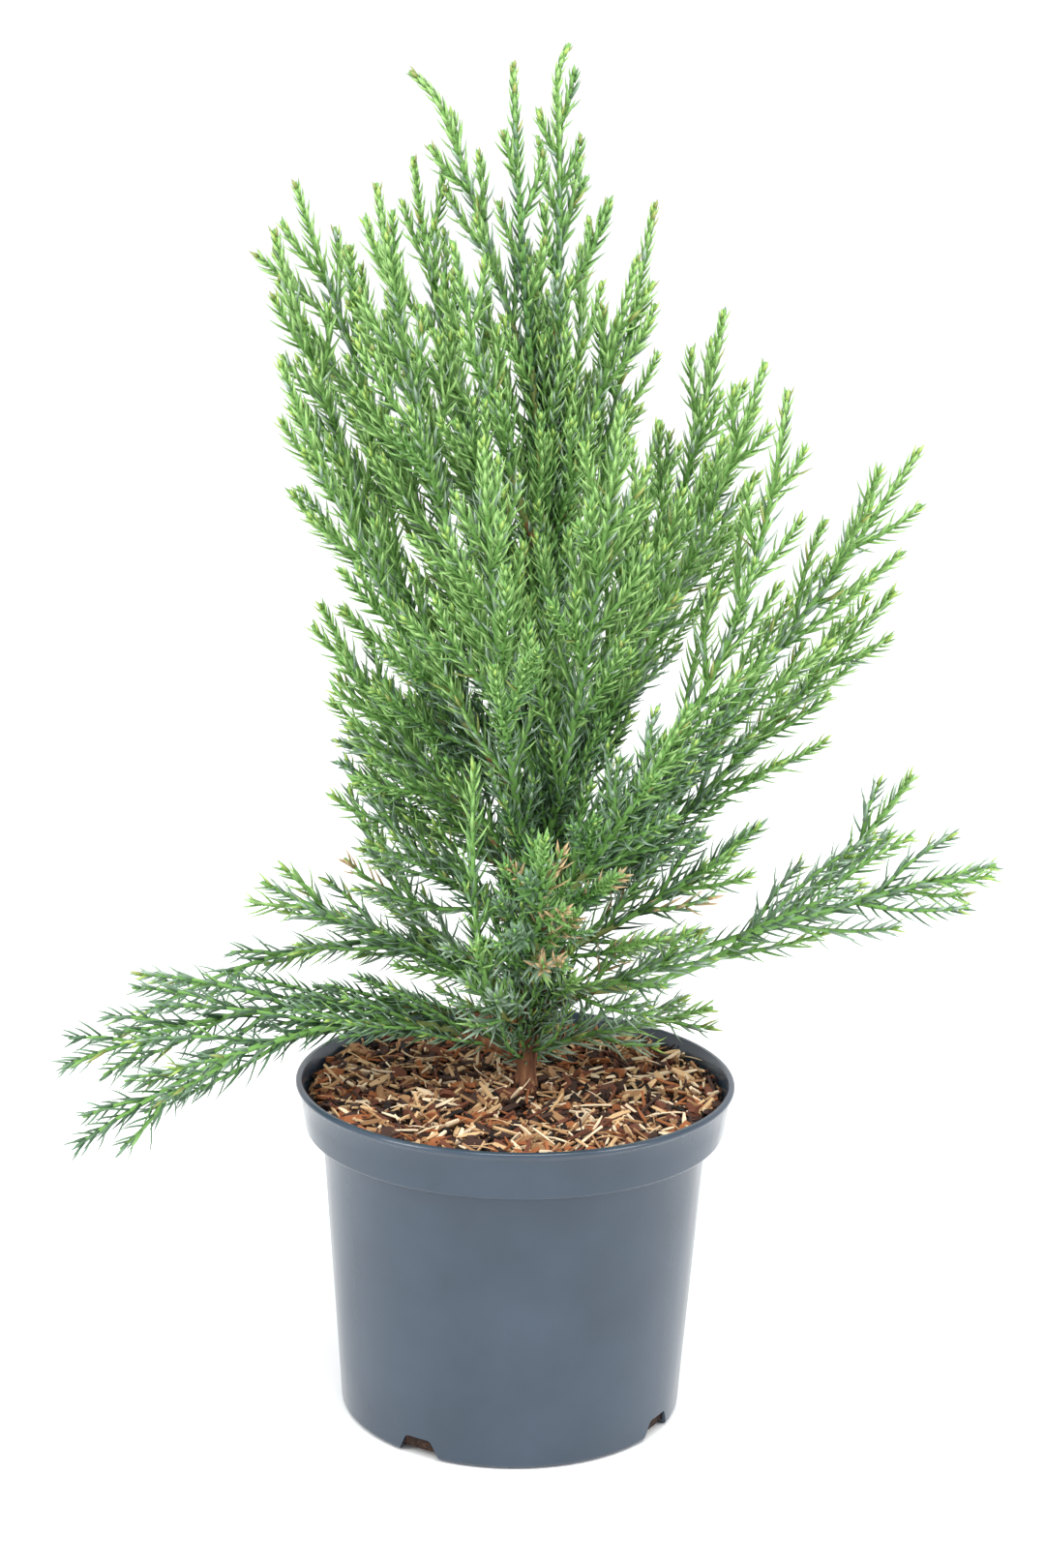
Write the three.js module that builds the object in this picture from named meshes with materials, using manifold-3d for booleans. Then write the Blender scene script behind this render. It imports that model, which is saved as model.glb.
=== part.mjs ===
// A young potted cryptomeria: a round nursery pot filled with bark, one slim trunk,
// its boughs, and the plumes of needled twigs that they carry.
//
// Millimetres, +Z up. The origin is the centre of the pot's flat underside.
// Compass ways are in degrees: 0 is +X (right), 90 is +Y (back), 270 is -Y (front).
// Every bough and plume follows one smooth path that starts on the trunk's axis. The
// inner share of a path is the bare bough, and the rest is the stem of its plume.

import * as THREE from 'three';
import { mergeVertices } from 'three/addons/utils/BufferGeometryUtils.js';
import Module from 'manifold-3d';

const wasm = await Module();
wasm.setup();

// ---------------------------------------------------------------- driving dimensions

const GAP = 0.3; // clearance between solids that touch
const POT_ROOM = 1; // room that the plumes keep to the pot and the soil

// Pot
const RIM_RADIUS = 87.4; // outside of the rolled lip
const RIM_HEIGHT = 137;
const BAND_TOP_RADIUS = 86; // the band under the lip
const BAND_FOOT_RADIUS = 83.6;
const BAND_FOOT_HEIGHT = 118.5;
const BAND_FILLET = 1.8; // rounding of the band's lower edge
const LIP_HEIGHT = 3;
const LIP_ROOM = 10; // how far in from the lip's edge a plume stays above the lip
const BODY_TOP_RADIUS = 76.8;
const BODY_FOOT_RADIUS = 68.6;
const CORNER_RADIUS = 2.2; // rounding between body and underside
const WALL = 1.6;
const FLOOR = 2;
const POT_FACETS = 32;
const DRAINS = 4; // arched slots cut through the foot of the wall
const DRAIN_WIDTH = 20;
const DRAIN_TOP_WIDTH = 11;
const DRAIN_HEIGHT = 8;
const DRAIN_DEPTH = 11; // how far in from the wall a slot runs
const DRAIN_TURN = -31; // compass way of the first slot

// Soil
const SOIL_HEIGHT = 128.5; // level at the wall
const SOIL_CROWN = 2.5; // how much higher it is at the trunk
const SOIL_LUMP = 1.6; // height of the bark lumps
const SOIL_RINGS = [82, 65, 48, 31, 14];
const SOIL_FACETS = 18;

// Trunk
const TRUNK_FOOT = [4, 6];
const TRUNK_BEND = [10, 3, 254]; // the point that its long lean is drawn towards
const TRUNK_TIP = [8, 4, 406];
const TRUNK_RADIUS = 3.7; // above the flare
const TRUNK_TIP_RADIUS = 1.8;
const FLARE_RADIUS = 5.4;
const FLARE_HEIGHT = 10;
const TRUNK_STEPS = 7; // bands between the flare and the tip
const TRUNK_FACETS = 9;

// Boughs and plumes
const BOUGH_RADIUS = 2.1;
const BOUGH_TIP_RADIUS = 1.3;
const STEM_RADIUS = 2.2;
const STEM_TIP_RADIUS = 1.3;
const STEM_BARE_SHARE = 0.66; // needles are drawn out of a stem beyond this share
const STEM_BANDS = [3, 4]; // bands of its core without and with needles
const TWIG_RADIUS = 1.9;
const TWIG_TIP_RADIUS = 1.1;
const TWIG_BARE_SHARE = 0.24;
const TWIG_BANDS = [1, 3];
const TWIG_ROOT_SHARE = 0.45; // a twig starts inside its stem, narrowed by this
const TWIG_STRIDE = 3; // the solids use every third place for a twig
const TWIG_ZONE = [0.05, 0.8]; // the share of a stem that carries twigs
const TWIG_STRAY = 60; // degrees that a twig may stray round its stem
const TWIG_FALL = 0.6; // how much shorter twigs get towards the stem's tip
const TWIG_SPREAD = [0.72, 1.08]; // shortest and longest against that rule
const TWIG_ANGLE = 36; // degrees off the stem where a twig leaves it
const TWIG_SPLAY = 10; // degrees off the stem where it ends
const NEEDLE_LENGTH = 11;
const NEEDLE_ANGLE = 40;
const NEEDLE_END_SHARE = 0.7; // the last needles of a shoot are shorter
const NEEDLE_RADIUS = 0.9; // room kept round a needle
const GOLDEN_ANGLE = 137.5;

// Each plume: its name, the height where it leaves the trunk, its compass way, how far
// out its tip is, the height of the tip, the rise in degrees at the trunk, the share of
// its path that is bare bough (0 for a plume that grows straight from the trunk), the
// length of its longest twig and the number of places for side twigs along its stem.
const PLUMES = [
    ['leader', 406, 0, 5, 536, 85, 0, 52, 9],
    ['top_middle', 366, 226, 23, 529, 78, 0, 54, 8],
    ['top_left', 384, 172, 55, 525, 75, 0, 62, 9],
    ['top_right', 350, 350, 32, 460, 72, 0, 58, 8],
    ['left_crest', 309, 166, 55, 494, 66, 0.28, 70, 12],
    ['left_high', 272, 176, 97, 484, 60, 0.3, 80, 13],
    ['left_outer', 236, 184, 103, 467, 58, 0.32, 66, 14],
    ['left_shoulder', 260, 212, 75, 486, 64, 0.3, 78, 14],
    ['left_inner', 343, 228, 55, 466, 60, 0, 62, 10],
    ['left_flank', 248, 202, 106, 422, 50, 0, 66, 14],
    ['right_crest', 266, 10, 39, 479, 80, 0, 64, 14],
    ['right_high', 234, 14, 69, 439, 62, 0.3, 66, 13],
    ['right_shoulder', 244, 345, 83, 423, 58, 0.3, 66, 12],
    ['right_plume', 218, 338, 95, 414, 40, 0.32, 60, 11],
    ['right_arm', 208, 358, 142, 390, 46, 0.36, 70, 12],
    ['right_lower_arm', 195, 8, 140, 331, 40, 0.34, 66, 12],
    ['left_middle', 223, 190, 86, 328, 42, 0, 66, 14],
    ['left_lower', 216, 164, 83, 305, 34, 0, 62, 13],
    ['left_ledge', 201, 186, 75, 266, 24, 0, 56, 12],
    ['low_left_upright', 161, 160, 79, 246, 24, 0, 50, 10],
    ['low_left_spray', 172, 181, 107, 214, 20, 0.28, 56, 8],
    ['low_left_trail', 178, 176, 158, 153, 28, 0, 46, 8],
    ['low_left_fan', 157, 187, 184, 143, 18, 0.42, 70, 9],
    ['low_left_droop', 141, 200, 182, 125, 36, 0.44, 70, 9],
    ['low_right_fan', 164, 354, 180, 231, 26, 0.4, 70, 9],
    ['low_right_lift', 176, 6, 150, 258, -9, 0.42, 60, 7],
    ['right_ledge', 186, 344, 90, 247, 28, 0, 60, 10],
    ['right_skirt', 169, 326, 79, 206, 18, 0, 54, 9],
    ['right_creeper', 147, 18, 79, 157, 8, 0, 44, 6],
    ['front_upright', 163, 248, 61, 277, 4, 0, 34, 12],
    ['front_low', 181, 272, 97, 260, 32, 0, 62, 12],
    ['front_skirt', 199, 302, 102, 307, 42, 0, 68, 13],
    ['front_left', 210, 254, 82, 400, 57, 0.26, 78, 15],
    ['front_right', 222, 290, 76, 412, 60, 0.26, 76, 15],
    ['back_skirt', 161, 82, 128, 216, 22, 0.28, 72, 12],
    ['back_low', 197, 122, 112, 315, 42, 0, 74, 13],
    ['back_middle', 218, 62, 100, 388, 55, 0.26, 80, 15],
    ['back_high', 250, 116, 87, 431, 58, 0, 78, 15],
    ['back_crest', 303, 76, 59, 471, 64, 0, 72, 12],
];

// ---------------------------------------------------------------- small helpers

const UP = new THREE.Vector3(0, 0, 1);
const radians = THREE.MathUtils.degToRad;
const mix = THREE.MathUtils.lerp;

// A number from 0 to 1 that is always the same for the same three whole numbers.
function chance(plume, twig, draw) {
    let hash = Math.imul(plume + 1, 73856093);
    hash ^= Math.imul(twig + 1, 19349663);
    hash ^= Math.imul(draw + 1, 83492791);
    hash = Math.imul(hash ^ (hash >>> 13), 1274126177);
    return ((hash ^ (hash >>> 16)) >>> 0) / 4294967296;
}

function compass(way, rise) {
    const out = Math.cos(radians(rise));
    return new THREE.Vector3(
        out * Math.cos(radians(way)),
        out * Math.sin(radians(way)),
        Math.sin(radians(rise)),
    );
}

// The heading of a path turned off its line by an angle, towards a place round it.
function turned(heading, angle, round) {
    const side = new THREE.Vector3().crossVectors(heading, UP).normalize();
    const lift = new THREE.Vector3().crossVectors(side, heading);
    const out = side.multiplyScalar(Math.cos(radians(round)));
    out.addScaledVector(lift, Math.sin(radians(round)));
    return heading.clone().multiplyScalar(Math.cos(radians(angle)))
        .addScaledVector(out, Math.sin(radians(angle)));
}

// ---------------------------------------------------------------- solids and booleans

function geometryOf(positions, faces) {
    const geometry = new THREE.BufferGeometry();
    geometry.setAttribute('position', new THREE.Float32BufferAttribute(positions, 3));
    geometry.setIndex(faces);
    return geometry;
}

function solidOf(geometry) {
    const bare = geometry.clone();
    bare.deleteAttribute('normal');
    bare.deleteAttribute('uv');
    const closed = mergeVertices(bare, 1e-4);
    return new wasm.Manifold(new wasm.Mesh({
        numProp: 3,
        vertProperties: new Float32Array(closed.attributes.position.array),
        triVerts: new Uint32Array(closed.index.array),
    }));
}

function geometryFrom(solid) {
    const mesh = solid.simplify(0.01).getMesh();
    const geometry = geometryOf(Array.from(mesh.vertProperties), Array.from(mesh.triVerts));
    geometry.computeVertexNormals();
    return geometry;
}

// The rings of corners round a row of stations { at, radius }. Each is carried on from
// the one before with the least turn, then turned by twist degrees. It stands square to
// the line through its neighbours, or to the station's own heading.
function ringsOf(stations, facets, twist) {
    const last = stations.length - 1;
    let side = new THREE.Vector3(0.9, 0.3, 0.2);
    return stations.map((station, i) => {
        const before = stations[Math.max(i - 1, 0)].at;
        const after = stations[Math.min(i + 1, last)].at;
        const heading = station.heading ?? after.clone().sub(before).normalize();
        side = side.addScaledVector(heading, -side.dot(heading)).normalize();
        const other = new THREE.Vector3().crossVectors(heading, side);
        return Array.from({ length: facets }, (_, k) => {
            const turn = (2 * Math.PI * k) / facets + radians(twist * i);
            return station.at.clone()
                .addScaledVector(side, station.radius * Math.cos(turn))
                .addScaledVector(other, station.radius * Math.sin(turn));
        });
    });
}

// A closed round limb with flat ends.
function limb(stations, facets) {
    const rings = ringsOf(stations, facets, 0);
    const faces = [];
    for (let i = 0; i < rings.length - 1; i += 1) {
        for (let k = 0; k < facets; k += 1) {
            const a = i * facets + k;
            const b = i * facets + ((k + 1) % facets);
            faces.push(a, b, b + facets, a, b + facets, a + facets);
        }
    }
    const last = (rings.length - 1) * facets;
    for (let k = 1; k < facets - 1; k += 1) {
        faces.push(0, k + 1, k, last, last + k, last + k + 1);
    }
    return geometryOf(rings.flat().flatMap((point) => point.toArray()), faces);
}

// A shoot: a slim three-sided core with a pointed tip. Each ring of it is turned by half
// a side from the last, so that the bands between rings are made of triangles, and from
// band `firstNeedled` on every second one is drawn out into a needle where there is room.
function shoot(stations, firstNeedled, owner, own) {
    const rings = ringsOf(stations, 3, 60);
    const points = rings.flat();
    const faces = [0, 2, 1];
    for (let i = 0; i < rings.length - 1; i += 1) {
        const heading = stations[i + 1].at.clone().sub(stations[i].at).normalize();
        for (let k = 0; k < 3; k += 1) {
            const a = 3 * i + k;
            const b = 3 * i + ((k + 1) % 3);
            faces.push(b, b + 3, a + 3);
            const corners = [points[a], points[b], points[a + 3]];
            const length = NEEDLE_LENGTH * (i === rings.length - 2 ? NEEDLE_END_SHARE : 1);
            const tip = i >= firstNeedled && needleTip(corners, heading, length, owner, own);
            if (tip) {
                const n = points.push(tip) - 1;
                faces.push(a, b, n, b, a + 3, n, a + 3, a, n);
            } else {
                faces.push(a, b, a + 3);
            }
        }
    }
    const end = stations.at(-1);
    const before = stations.at(-2).at;
    const heading = end.at.clone().sub(before).normalize();
    const n = points.push(end.at.clone().addScaledVector(heading, 2 * end.radius)) - 1;
    const last = 3 * (rings.length - 1);
    faces.push(last, last + 1, n, last + 1, last + 2, n, last + 2, last, n);
    return geometryOf(points.flatMap((point) => point.toArray()), faces);
}

// The tip of a needle drawn out of a triangle of the core, or null where it has no room.
function needleTip(corners, heading, length, owner, own) {
    const root = new THREE.Vector3();
    corners.forEach((corner) => root.addScaledVector(corner, 1 / 3));
    const face = new THREE.Triangle(...corners);
    const out = face.getNormal(new THREE.Vector3());
    out.addScaledVector(heading, -out.dot(heading)).normalize();
    const tip = root.clone()
        .addScaledVector(heading, length * Math.cos(radians(NEEDLE_ANGLE)))
        .addScaledVector(out, length * Math.sin(radians(NEEDLE_ANGLE)));
    if (inPot(tip, 0) || crowded(root, tip, NEEDLE_RADIUS, owner, own)) {
        return null;
    }
    taken.push({ a: root, b: tip, radius: NEEDLE_RADIUS, owner, own });
    return tip;
}

// ---------------------------------------------------------------- pot and soil

function arcPoints(centre, radius, fromDegrees, toDegrees, steps) {
    const points = [];
    for (let i = 0; i <= steps; i += 1) {
        const turn = radians(mix(fromDegrees, toDegrees, i / steps));
        points.push([centre[0] + radius * Math.cos(turn), centre[1] + radius * Math.sin(turn)]);
    }
    return points;
}

const SHOULDER_HEIGHT = BAND_FOOT_HEIGHT - BAND_FILLET; // level underside of the band

// The inside of the wall, as radius and height, from the lip to the middle of the floor.
const INSIDE = [
    [BAND_TOP_RADIUS - WALL, RIM_HEIGHT],
    [BAND_FOOT_RADIUS - WALL, BAND_FOOT_HEIGHT + 2 * WALL],
    [BODY_TOP_RADIUS - WALL, SHOULDER_HEIGHT + WALL],
    [BODY_FOOT_RADIUS - WALL, CORNER_RADIUS],
    [BODY_FOOT_RADIUS - CORNER_RADIUS, FLOOR],
    [0, FLOOR],
];

// The wall's section from the underside's centre up the outside, over the lip, down the
// inside and back to the axis.
function potProfile() {
    const cornerCentre = [BODY_FOOT_RADIUS - CORNER_RADIUS, CORNER_RADIUS];
    const bandCentre = [BAND_FOOT_RADIUS - BAND_FILLET, BAND_FOOT_HEIGHT];
    return [
        [0, 0],
        ...arcPoints(cornerCentre, CORNER_RADIUS, -90, 0, 3),
        [BODY_TOP_RADIUS, SHOULDER_HEIGHT],
        ...arcPoints(bandCentre, BAND_FILLET, -90, 0, 2),
        [BAND_TOP_RADIUS, RIM_HEIGHT - LIP_HEIGHT],
        [RIM_RADIUS, RIM_HEIGHT - 0.6 * LIP_HEIGHT],
        [RIM_RADIUS - 0.2 * LIP_HEIGHT, RIM_HEIGHT],
        ...INSIDE,
    ];
}

function lathe(profile, facets) {
    const points = profile.map(([radius, height]) => new THREE.Vector2(radius, height));
    const geometry = new THREE.LatheGeometry(points, facets);
    return geometry.rotateX(Math.PI / 2);
}

// One arched drain slot: a sloped block that reaches in from outside the wall.
function drainCutter(turn) {
    const half = DRAIN_WIDTH / 2;
    const halfTop = DRAIN_TOP_WIDTH / 2;
    const outside = BODY_FOOT_RADIUS + WALL;
    const outline = new THREE.Shape([
        new THREE.Vector2(-half, -1),
        new THREE.Vector2(half, -1),
        new THREE.Vector2(halfTop, DRAIN_HEIGHT),
        new THREE.Vector2(-halfTop, DRAIN_HEIGHT),
    ]);
    const block = new THREE.ExtrudeGeometry(outline, {
        depth: DRAIN_DEPTH + WALL,
        bevelEnabled: false,
        steps: 1,
    });
    block.rotateX(Math.PI / 2);
    block.translate(0, outside, 0);
    return block.rotateZ(radians(turn - 90));
}

function makePot() {
    let pot = solidOf(lathe(potProfile(), POT_FACETS));
    for (let k = 0; k < DRAINS; k += 1) {
        pot = pot.subtract(solidOf(drainCutter(DRAIN_TURN + (360 * k) / DRAINS)));
    }
    return geometryFrom(pot);
}

// The soil fills the pot up to a low crown of bark lumps, level round the trunk's foot.
function makeSoil() {
    const flat = Math.cos(Math.PI / POT_FACETS); // how near the wall's flats come
    const side = INSIDE.slice(1).reverse().map(([radius, height]) => [
        Math.max(radius * flat - GAP, 0),
        height + GAP,
    ]);
    const top = SOIL_RINGS.map((radius) => {
        const crown = SOIL_CROWN * (1 - radius / SOIL_RINGS[0]);
        return [radius, SOIL_HEIGHT + crown];
    });
    const crownHeight = SOIL_HEIGHT + SOIL_CROWN;
    const profile = [...side, ...top, [0, crownHeight]];
    const soil = mergeVertices(stripped(lathe(profile, SOIL_FACETS)), 1e-3);
    const place = soil.attributes.position;
    for (let i = 0; i < place.count; i += 1) {
        const x = place.getX(i);
        const y = place.getY(i);
        const z = place.getZ(i);
        const fromTrunk = Math.hypot(x - TRUNK_FOOT[0], y - TRUNK_FOOT[1]);
        if (z >= SOIL_HEIGHT - 1) {
            const lump = chance(Math.round(Math.hypot(x, y)), Math.round(x), i);
            const level = fromTrunk < FLARE_RADIUS + 6;
            place.setZ(i, level ? crownHeight : z + SOIL_LUMP * (lump - 0.6));
        }
    }
    return geometryFrom(solidOf(soil));
}

function stripped(geometry) {
    geometry.deleteAttribute('normal');
    geometry.deleteAttribute('uv');
    return geometry;
}

// ---------------------------------------------------------------- paths of the limbs

function pathOf(start, bend, tip) {
    return new THREE.QuadraticBezierCurve3(start, bend, tip);
}

const GROUND = SOIL_HEIGHT + SOIL_CROWN + GAP;
const trunkPath = pathOf(
    new THREE.Vector3(TRUNK_FOOT[0], TRUNK_FOOT[1], GROUND),
    new THREE.Vector3(...TRUNK_BEND),
    new THREE.Vector3(...TRUNK_TIP),
);

function trunkPoint(height) {
    return trunkPath.getPoint((height - GROUND) / (TRUNK_TIP[2] - GROUND));
}

function trunkRadius(height) {
    const share = (height - GROUND) / (TRUNK_TIP[2] - GROUND);
    const flare = Math.max(1 - (height - GROUND) / FLARE_HEIGHT, 0);
    const swell = (FLARE_RADIUS - TRUNK_RADIUS) * flare * flare;
    return mix(TRUNK_RADIUS, TRUNK_TIP_RADIUS, share) + swell;
}

// A plume's path leaves the trunk at its rise and turns smoothly to its tip.
function plumePath([, foot, way, reach, top, rise]) {
    const start = trunkPoint(foot);
    const tip = start.clone();
    tip.x += reach * Math.cos(radians(way));
    tip.y += reach * Math.sin(radians(way));
    tip.z = top;
    const half = start.distanceTo(tip) / 2;
    return pathOf(start, start.clone().addScaledVector(compass(way, rise), half), tip);
}

// Side twig number `place` of a plume: it leaves the stem at TWIG_ANGLE and turns along it.
function twigPath(stem, from, plume, place, places, longest) {
    const share = (place + 0.5) / places;
    const along = mix(from, 1, mix(...TWIG_ZONE, share));
    const heading = stem.getTangent(along);
    const round = place * GOLDEN_ANGLE + TWIG_STRAY * (chance(plume, place, 0) - 0.5);
    const spread = mix(...TWIG_SPREAD, chance(plume, place, 1));
    const length = longest * (1 - TWIG_FALL * share) * spread;
    const start = stem.getPoint(along);
    const bend = start.clone().addScaledVector(turned(heading, TWIG_ANGLE, round), length / 2);
    const follow = turned(heading, TWIG_SPLAY, round);
    return pathOf(start, bend, bend.clone().addScaledVector(follow, length / 2));
}

// Stations along a path at the given shares of it, from `from` to its end.
function stationsAlong(path, from, shares, radius, tipRadius) {
    return shares.map((share) => ({
        at: path.getPoint(mix(from, 1, share)),
        radius: mix(radius, tipRadius, share),
    }));
}

function shares(bare, bareBands, needledBands) {
    const plain = Array.from({ length: bareBands }, (_, i) => (bare * i) / bareBands);
    const needled = Array.from(
        { length: needledBands + 1 },
        (_, i) => mix(bare, 1, i / needledBands),
    );
    return [...plain, ...needled];
}

const BOUGH_SHARES = [0, 0.34, 0.67, 1];
const STEM_SHARES = shares(STEM_BARE_SHARE, ...STEM_BANDS);
const TWIG_SHARES = shares(TWIG_BARE_SHARE, ...TWIG_BANDS);

// ---------------------------------------------------------------- keeping clear

const taken = []; // every limb, twig and needle so far, as thick lines with an owner

function lineGap(a, b, c, d) {
    const u = b.clone().sub(a);
    const v = d.clone().sub(c);
    const w = a.clone().sub(c);
    const uu = u.dot(u);
    const uv = u.dot(v);
    const vv = v.dot(v);
    const uw = u.dot(w);
    const vw = v.dot(w);
    const clamp = THREE.MathUtils.clamp;
    const cross = uu * vv - uv * uv;
    let s = cross > 1e-9 ? clamp((uv * vw - vv * uw) / cross, 0, 1) : 0;
    const t = clamp((uv * s + vw) / vv, 0, 1);
    s = clamp((uv * t - uw) / uu, 0, 1);
    return w.addScaledVector(u, s).addScaledVector(v, -t).length();
}

// Whether a thick line comes too close to one of another owner, or of another shoot of
// its own where it names its shoot.
function crowded(a, b, radius, owner, own) {
    return taken.some((line) => (line.owner !== owner || (own && line.own !== own))
        && lineGap(a, b, line.a, line.b) < radius + line.radius + GAP);
}

// True where a thick point would touch the pot or the soil.
function inPot(point, radius) {
    const out = Math.hypot(point.x, point.y);
    const overSoil = out < RIM_RADIUS - LIP_ROOM;
    const floor = overSoil ? SOIL_HEIGHT + SOIL_CROWN + SOIL_LUMP : RIM_HEIGHT;
    const room = radius + POT_ROOM;
    return out < RIM_RADIUS + room && point.z < floor + room;
}

function claim(stations, owner, own) {
    for (let i = 1; i < stations.length; i += 1) {
        const radius = Math.max(stations[i - 1].radius, stations[i].radius);
        taken.push({ a: stations[i - 1].at, b: stations[i].at, radius, owner, own });
    }
}

function fits(stations, owner) {
    return stations.every((station, i) => {
        if (i === 0) {
            return true;
        }
        const radius = Math.max(stations[i - 1].radius, station.radius);
        return !inPot(station.at, radius)
            && !crowded(stations[i - 1].at, station.at, radius, owner);
    });
}

// ---------------------------------------------------------------- trunk, boughs, plumes

function trunkStations(extra) {
    const heights = [GROUND - extra, GROUND + FLARE_HEIGHT / 3];
    for (let i = 0; i <= TRUNK_STEPS; i += 1) {
        heights.push(mix(GROUND + FLARE_HEIGHT, TRUNK_TIP[2], i / TRUNK_STEPS));
    }
    const stations = heights.map((height) => ({
        at: trunkPoint(height),
        radius: trunkRadius(Math.max(height, GROUND)) + extra,
    }));
    stations[0].heading = UP;
    return stations;
}

// The trunk, cut level at the ground.
function makeTrunk(extra) {
    const stations = trunkStations(extra);
    if (extra > 0) {
        const above = UP.clone().multiplyScalar(extra);
        stations.push({ at: stations.at(-1).at.clone().add(above), radius: TRUNK_TIP_RADIUS });
    }
    return limb(stations, TRUNK_FACETS);
}

const roomForTrunk = solidOf(makeTrunk(GAP));

// The stem and twigs of one plume, joined into one solid.
function makePlume(plan, index) {
    const pieces = [solidOf(shoot(plan.stem, STEM_BANDS[0], index, 'stem'))];
    for (let place = 0; place < plan.twigs; place += TWIG_STRIDE) {
        const twig = twigPath(plan.path, plan.from, index, place, plan.twigs, plan.longest);
        const stations = stationsAlong(twig, 0, TWIG_SHARES, TWIG_RADIUS, TWIG_TIP_RADIUS);
        stations[0].radius *= TWIG_ROOT_SHARE;
        if (fits(stations, index)) {
            claim(stations, index, `twig ${place}`);
            pieces.push(solidOf(shoot(stations, TWIG_BANDS[0], index, `twig ${place}`)));
        }
    }
    const plume = pieces.reduce((joined, piece) => joined.add(piece));
    return geometryFrom(plan.bare === 0 ? plume.subtract(roomForTrunk) : plume);
}

// ---------------------------------------------------------------- the whole plant

function material(color, roughness) {
    return new THREE.MeshStandardMaterial({ color, roughness, metalness: 0 });
}

const MATERIALS = {
    pot: material(0x4b5862, 0.35),
    soil: material(0x7a5230, 0.95),
    trunk: material(0x7d5a3c, 0.85),
    bough: material(0x8c6a42, 0.8),
    foliage: material(0x4f8f48, 0.6),
};

const group = new THREE.Group();

function addMesh(name, geometry, kind) {
    const mesh = new THREE.Mesh(geometry, MATERIALS[kind]);
    mesh.name = name;
    group.add(mesh);
}

addMesh('pot', makePot(), 'pot');
addMesh('soil', makeSoil(), 'soil');
addMesh('trunk', makeTrunk(0), 'trunk');
claim(trunkStations(0), 'trunk');

// The stems and boughs take their places first, so that every twig keeps clear of them.
const plans = PLUMES.map((row, index) => {
    const path = plumePath(row);
    const bare = row[6];
    const from = bare === 0 ? 0 : bare + GAP / path.getLength();
    const stem = stationsAlong(path, from, STEM_SHARES, STEM_RADIUS, STEM_TIP_RADIUS);
    const bough = BOUGH_SHARES.map((share) => ({
        at: path.getPoint(bare * share),
        radius: mix(BOUGH_RADIUS, BOUGH_TIP_RADIUS, share),
    }));
    claim(stem, index, 'stem');
    if (bare > 0) {
        claim(bough, `bough ${index}`);
    }
    return { path, from, bare, longest: row[7], twigs: row[8], stem, bough };
});

plans.forEach((plan, index) => {
    const name = PLUMES[index][0];
    if (plan.bare > 0) {
        const bough = solidOf(limb(plan.bough, 5)).subtract(roomForTrunk);
        addMesh(`bough_${name}`, geometryFrom(bough), 'bough');
    }
    addMesh(`foliage_${name}`, makePlume(plan, index), 'foliage');
});

export default group;
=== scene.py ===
# A young potted cryptomeria: a slate nursery pot filled with bark mulch, one slim trunk,
# its boughs and the plumes of needled shoots that they carry.
#
# The plant is grown by the same rule as its solids and carried on to finer shoots and
# needles. Sizes are in millimetres, +Z up, from the centre of the pot's flat underside,
# and meshes are scaled to metres as they are made. Compass ways are in degrees: 0 is +X
# (right), 90 is +Y (back), 270 is -Y (front).

import itertools
import math
from dataclasses import dataclass

import bpy
import numpy as np
from mathutils import Matrix, Vector, noise


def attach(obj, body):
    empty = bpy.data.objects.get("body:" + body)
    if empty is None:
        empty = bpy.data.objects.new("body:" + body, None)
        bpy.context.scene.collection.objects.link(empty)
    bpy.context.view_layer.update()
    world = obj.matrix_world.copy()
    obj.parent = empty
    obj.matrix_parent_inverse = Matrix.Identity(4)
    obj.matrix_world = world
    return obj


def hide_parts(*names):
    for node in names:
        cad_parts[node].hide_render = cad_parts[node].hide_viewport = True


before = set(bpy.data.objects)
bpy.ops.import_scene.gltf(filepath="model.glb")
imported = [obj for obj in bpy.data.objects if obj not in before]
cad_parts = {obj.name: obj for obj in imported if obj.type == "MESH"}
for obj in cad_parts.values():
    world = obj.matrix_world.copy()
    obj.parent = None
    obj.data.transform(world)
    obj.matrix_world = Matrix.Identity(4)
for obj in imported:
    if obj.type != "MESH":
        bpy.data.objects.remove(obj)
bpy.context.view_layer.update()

MM = 0.001  # metres in a millimetre

# ---- sizes of the solids

GAP = 0.3  # between neighbouring solids

# Pot
RIM_RADIUS = 87.4
RIM_HEIGHT = 137
BAND_TOP_RADIUS = 86
BAND_FOOT_RADIUS = 83.6
BAND_FOOT_HEIGHT = 118.5
BAND_FILLET = 1.8
LIP_HEIGHT = 3
LIP_ROOM = 10
BODY_TOP_RADIUS = 76.8
BODY_FOOT_RADIUS = 68.6
CORNER_RADIUS = 2.2
WALL = 1.6
FLOOR = 2
DRAINS = 4
DRAIN_WIDTH = 20
DRAIN_TOP_WIDTH = 11
DRAIN_HEIGHT = 8
DRAIN_DEPTH = 11
DRAIN_TURN = -31
SHOULDER_HEIGHT = BAND_FOOT_HEIGHT - BAND_FILLET

# Soil
SOIL_HEIGHT = 128.5
SOIL_CROWN = 2.5
SOIL_LUMP = 1.6
GROUND = SOIL_HEIGHT + SOIL_CROWN + GAP

# Trunk
TRUNK_FOOT = (4, 6)
TRUNK_BEND = (10, 3, 254)
TRUNK_TIP = (8, 4, 406)
TRUNK_RADIUS = 3.7
TRUNK_TIP_RADIUS = 1.8
FLARE_RADIUS = 5.4
FLARE_HEIGHT = 10

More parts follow.
